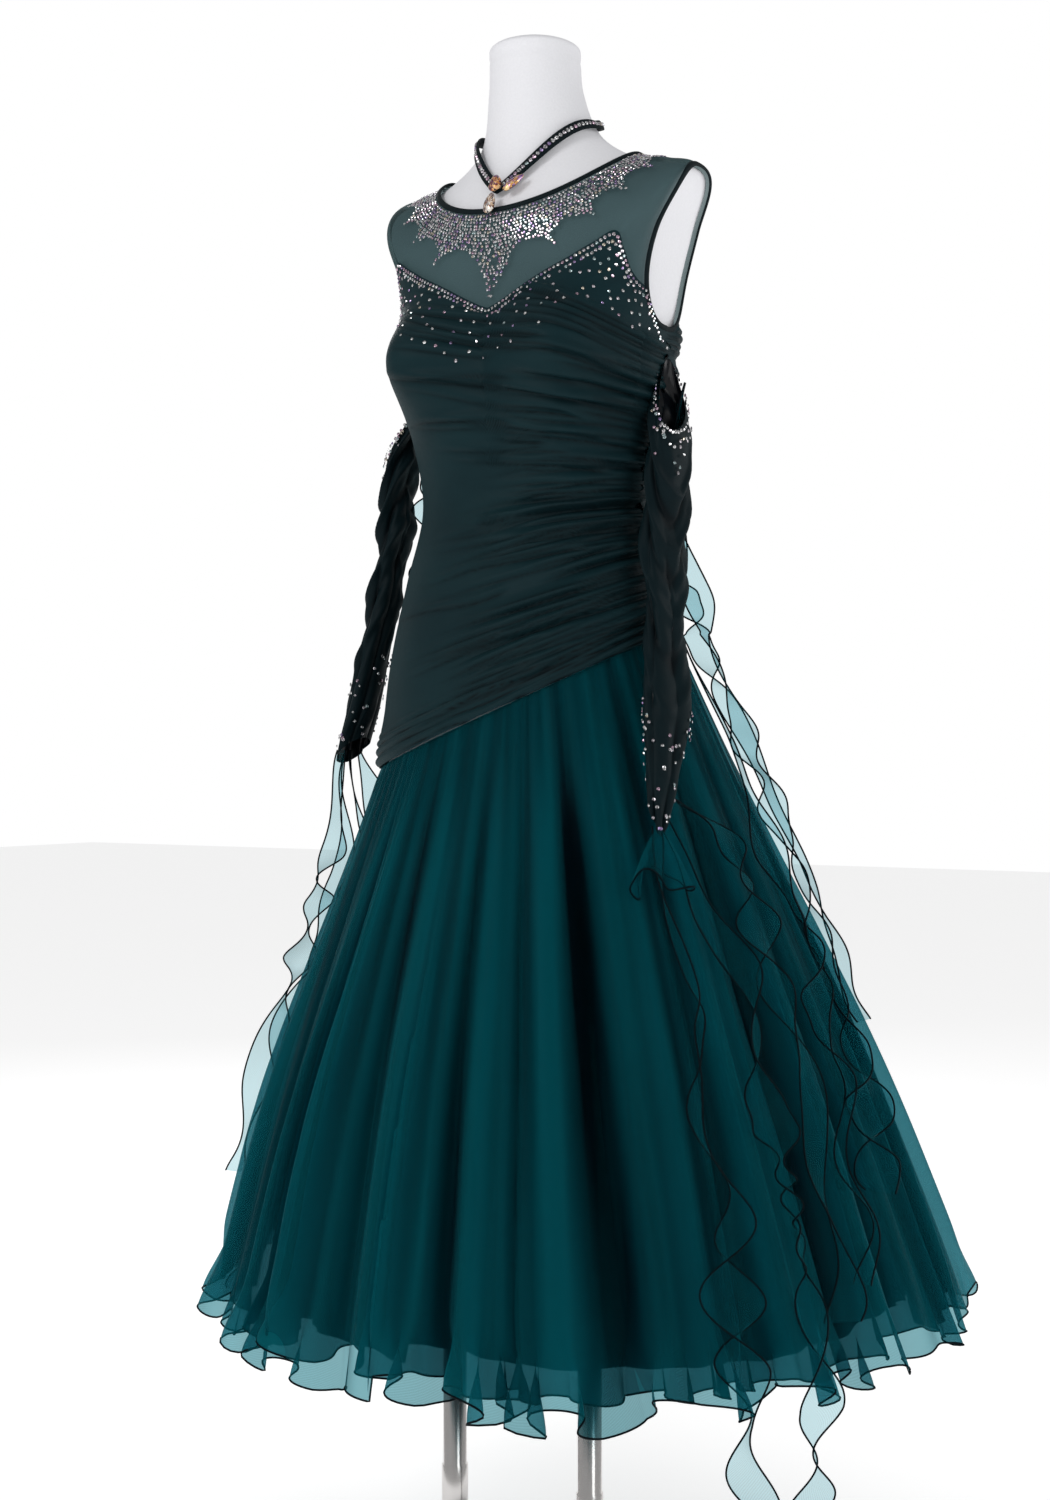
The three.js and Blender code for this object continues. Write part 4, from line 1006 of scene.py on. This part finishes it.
# One full row and one broken row of stones below the jersey's edge, and others scattered further down at an
# exponential distance, each apart from the rest.
def makeBodiceStones(p):
    random = np.random.default_rng(7)
    last = frontMeet[0]
    angle = np.linspace(-last - p["past"], last + p["past"], 4000)
    beyond = frontMeet[1] - (np.abs(angle) - last) / p["past"] * p["pastDrop"]
    z = np.where(np.abs(angle) > last, beyond, edgeHeight(sweetheart, angle))
    total = lengthAlong(bodyPoint(angle, rowAt(angle, z)))
    at = np.arange(0, total[-1], p["pitch"])
    edgeAngle = np.interp(at, total, angle)
    edgeZ = np.interp(at, total, z) - p["under"]
    second = random.uniform(0, 1, len(at)) < p["secondShare"]
    a = random.uniform(-74, 78, p["scatter"] * 3)
    below = random.exponential(0.028, len(a)) + 0.012
    zs = edgeHeight(sweetheart, a) - below
    good = (below < p["reach"] * (1 - 0.25 * np.abs(a) / 80)) & (zs > p["lowest"])
    a, zs = a[good], zs[good]
    kept = []
    for k in range(len(a)):
        across = np.radians(a[k] - a[kept]) * p["perRadian"]
        far = bool(np.all(across**2 + (zs[k] - zs[kept]) ** 2 > p["apart"] ** 2))
        if far and len(kept) < p["scatter"]:
            kept.append(k)
    angle = np.concatenate([edgeAngle, edgeAngle[second] + 0.9, a[kept]])
    z = np.concatenate([edgeZ, edgeZ[second] - p["secondUnder"], zs[kept]])
    v = rowAt(angle, z)
    relief, _ = drapeRelief(angle, z, bodicePiece, bodicePiece["frontSeed"])
    fade = smooth((edgeHeight(sweetheart, angle) - z) / 0.02)
    out = p["lift"] + np.maximum(relief, -bodicePiece["deepest"]) * fade
    makeStones("bodiceStones", onBody(angle, v, out), bodyNormal(angle, v), p["radius"], 9)


sleeveStonePiece = {"radius": 0.0019, "rim": 42, "scatter": 44, "tip": 30, "patch": 44, "patchFrom": 0.75,
                    "patchTo": 0.86, "lift": 0.004}


# Stones along the rim, scattered below it, near the tip, and in a patch above the tip.
def makeSleeveStones(p):
    random = np.random.default_rng(13)
    for side, sleeve in sleeveTables.items():
        u = np.concatenate([np.linspace(0.06, 0.94, p["rim"]), random.uniform(0.15, 0.85, p["scatter"]),
                            random.uniform(0.05, 0.95, p["tip"]), random.uniform(0.0, 1.0, p["patch"])])
        w = np.concatenate([0.008 + 0.003 * random.uniform(-1, 1, p["rim"]),
                            0.02 + random.exponential(0.025, p["scatter"]),
                            1 - np.minimum(0.20, 0.012 + random.exponential(0.05, p["tip"])),
                            random.uniform(p["patchFrom"], p["patchTo"], p["patch"])])
        centre = sleevePoint(u, w, sleeve, p["lift"])
        normal = unit(sleevePoint(u, w, sleeve, 0.012) - sleevePoint(u, w, sleeve, 0.0))
        makeStones("sleeveStones" + side.title(), centre, normal, p["radius"], 17)


collar = makeCollar(collarPiece)
makeBodiceStones(edgePiece)
makeSleeveStones(sleeveStonePiece)
print("stones made:", len(collar.data.polygons))

# The neck band with its crystals.
bandPiece = {"front": 1.566, "side": 1.648, "back": 1.668, "wide": 0.0062, "tall": 0.0016, "lift": 0.0026,
             "stone": 0.0025, "pitch": 0.0056}


# The band's line round the neck and the way out of it: its height goes from front to side by the sine, and
# from side to back by the cosine.
def bandPath(angle, p):
    sine, cosine = np.abs(np.sin(np.radians(angle))), np.cos(np.radians(angle))
    z = np.where(cosine > 0, mix(p["front"], p["side"], sine), mix(p["side"], p["back"], -cosine))
    v = rowAt(angle, z)
    return onBody(angle, v, p["lift"]), bodyNormal(angle, v)


def makeNeckBand(p):
    path, out = bandPath(np.arange(300) * 1.2, p)
    standIn(makeTube("neckBand", path, out, p["wide"], p["tall"], binding, 12, True), "jersey", "neck_band")
    path, out = bandPath(np.arange(0, 360, 0.5), p)
    total = lengthAlong(path)
    at = np.arange(p["pitch"] / 2, total[-1], p["pitch"])
    centres = np.stack([np.interp(at, total, path[:, k]) for k in range(3)], 1)
    normals = unit(np.stack([np.interp(at, total, out[:, k]) for k in range(3)], 1))
    makeStones("bandStones", centres + normals * p["tall"], normals, p["stone"], 21)


gemCut = {"sides": 20, "narrow": 0.42, "back": 0.0020, "front": 0.0031,
          "levels": ((0.70, -0.0020), (1.0, -0.0004), (1.0, 0.0006), (0.80, 0.0022), (0.50, 0.0031))}
# Each gem's tints: its own amber, brown or clear colour, with darker and brighter tints as painted glints on
# the facets.
gemPieces = {
    "crystal_round": {"long": 0.022, "wide": 0.020, "angle": -1.5, "row": 2.5, "out": 0.0074, "tilt": 10,
                      "tints": ((0.16, 0.03, 0.01), (0.55, 0.20, 0.04), (0.85, 0.50, 0.22),
                                (0.03, 0.01, 0.02), (0.20, 0.05, 0.14))},
    "crystal_slanted": {"long": 0.028, "wide": 0.0135, "angle": 11, "row": 2.55, "out": 0.0066, "tilt": -50,
                        "tints": ((0.24, 0.07, 0.02), (0.68, 0.32, 0.07), (0.90, 0.62, 0.30),
                                  (0.05, 0.03, 0.08), (0.30, 0.12, 0.36))},
    "crystal_drop": {"long": 0.026, "wide": 0.018, "angle": -1, "row": 2.89, "out": 0.0085, "tilt": 0,
                     "tints": ((0.20, 0.09, 0.05), (0.70, 0.50, 0.34), (0.95, 0.90, 0.84), (0.06, 0.04, 0.04),
                               (0.40, 0.30, 0.28))},
}


# A drop-shaped crystal: rings of one outline, each a share of it at its own height, with flat facets.
def makeGem(name, p, shape):
    sides, levels = shape["sides"], shape["levels"]
    turn = np.arange(sides) * 2 * np.pi / sides
    narrow = 1 - shape["narrow"] * (1 + np.cos(turn)) / 2
    outline = joined(np.sin(turn) * narrow * p["wide"] / 2, np.cos(turn) * p["long"] / 2)
    angle, row = np.array([float(p["angle"])]), np.array([p["row"]])
    normal, seat = bodyNormal(angle, row)[0], onBody(angle, row, p["out"])[0]
    right = unit(np.cross(upright, normal))
    up = np.cross(normal, right)
    tilt = math.radians(p["tilt"])
    right, up = right * math.cos(tilt) + up * math.sin(tilt), up * math.cos(tilt) - right * math.sin(tilt)
    flat = outline[:, :1] * right + outline[:, 1:] * up
    points = [seat + share * flat + lift * normal for share, lift in levels]
    points.append([seat - shape["back"] * normal, seat + shape["front"] * normal])
    k = np.arange(sides)
    following, lastRing, centre = (k + 1) % sides, (len(levels) - 1) * sides, len(levels) * sides
    bands = range(len(levels) - 1)
    faces = [np.stack([n * sides + k, n * sides + following, (n + 1) * sides + following], -1) for n in bands]
    faces += [np.stack([n * sides + k, (n + 1) * sides + following, (n + 1) * sides + k], -1) for n in bands]
    faces.append(np.stack([following, k, np.full(sides, centre)], -1))
    faces.append(np.stack([lastRing + k, lastRing + following, np.full(sides, centre + 1)], -1))
    faces = np.concatenate(faces)
    obj = makeMesh(pieceName(name), np.concatenate(points), faces, gem, smoothShade=False)
    random = np.random.default_rng(31)
    # Each facet takes one of the tints at random: the gem's own colour, and painted glints.
    tintFaces(obj, np.array(p["tints"])[random.integers(0, len(p["tints"]), len(faces))])
    standIn(obj, "crystal", name)


makeNeckBand(bandPiece)
for gemName, gemSettings in gemPieces.items():
    makeGem(gemName, gemSettings, gemCut)
print("neck band made")

# The floor, the lights and the camera. Each lamp has a place, a size and a power.
studio = {"floor": 14.0, "floorGlow": 0.5, "sky": 0.42, "cameraSky": 1.0, "aim": (0, 0, 1.0),
          "lamps": {"key": ((-0.9, -3.2, 2.9), 1.6, 42.0), "fill": ((3.4, -1.4, 1.9), 1.6, 22.0),
                    "rim": ((-2.4, 2.6, 2.6), 1.6, 22.0), "rimRight": ((2.6, 2.6, 2.2), 1.4, 22.0)}}
view = {"lens": 50.4, "place": (1.250, -1.992, 0.95), "turn": 32, "far": 60, "throughLayers": 24}


# A pale floor that glows a little, and a white sky that is brighter to the camera than to the cloth.
def makeRoom(p):
    half = p["floor"]
    mesh = bpy.data.meshes.new("floor")
    corners = [(-half, -half, 0), (half, -half, 0), (half, half, 0), (-half, half, 0)]
    mesh.from_pydata(corners, [], [(0, 1, 2, 3)])
    floor = bpy.data.objects.new("floor", mesh)
    bpy.context.scene.collection.objects.link(floor)
    paint = makePlain("floorPaint", (0.90, 0.90, 0.90), 0.8, grain=1.5, vary=0.01)
    shader = paint.node_tree.nodes["Principled BSDF"]
    shader.inputs["Emission Color"].default_value = (1, 1, 1, 1)
    shader.inputs["Emission Strength"].default_value = p["floorGlow"]
    mesh.materials.append(paint)
    world = bpy.data.worlds.new("studio")
    world.use_nodes = True
    nodes, links = world.node_tree.nodes, world.node_tree.links
    nodes["Background"].inputs["Color"].default_value = (1, 1, 1, 1)
    path = node(nodes, "ShaderNodeLightPath")
    level = node(nodes, "ShaderNodeMath", operation="MULTIPLY_ADD")
    links.new(path.outputs["Is Camera Ray"], level.inputs[0])
    level.inputs[1].default_value = p["cameraSky"] - p["sky"]
    level.inputs[2].default_value = p["sky"]
    links.new(level.outputs[0], nodes["Background"].inputs["Strength"])
    bpy.context.scene.world = world


# Round lamps turned toward one place: tilted by the height's angle, and turned by the direction's.
def makeLamps(p):
    for name, (place, size, power) in p["lamps"].items():
        light = bpy.data.lights.new(name, "AREA")
        light.shape, light.size, light.energy = "DISK", size, power
        obj = bpy.data.objects.new(name, light)
        obj.location = place
        aim = np.array(p["aim"]) - np.array(place)
        tilt = math.acos(-aim[2] / np.linalg.norm(aim))
        obj.rotation_euler = (tilt, 0, math.atan2(aim[1], aim[0]) - math.pi / 2)
        bpy.context.scene.collection.objects.link(obj)


def makeCamera(p):
    lens = bpy.data.cameras.new("camera")
    lens.lens, lens.sensor_width, lens.sensor_fit, lens.clip_end = p["lens"], 36.0, "AUTO", p["far"]
    camera = bpy.data.objects.new("camera", lens)
    camera.location = p["place"]
    camera.rotation_euler = (math.pi / 2, 0, math.radians(p["turn"]))
    bpy.context.scene.collection.objects.link(camera)
    bpy.context.scene.camera = camera
    bpy.context.scene.view_settings.view_transform = "Standard"
    bpy.context.scene.cycles.transparent_max_bounces = p["throughLayers"]


makeRoom(studio)
makeLamps(studio)
makeCamera(view)
print("studio made")
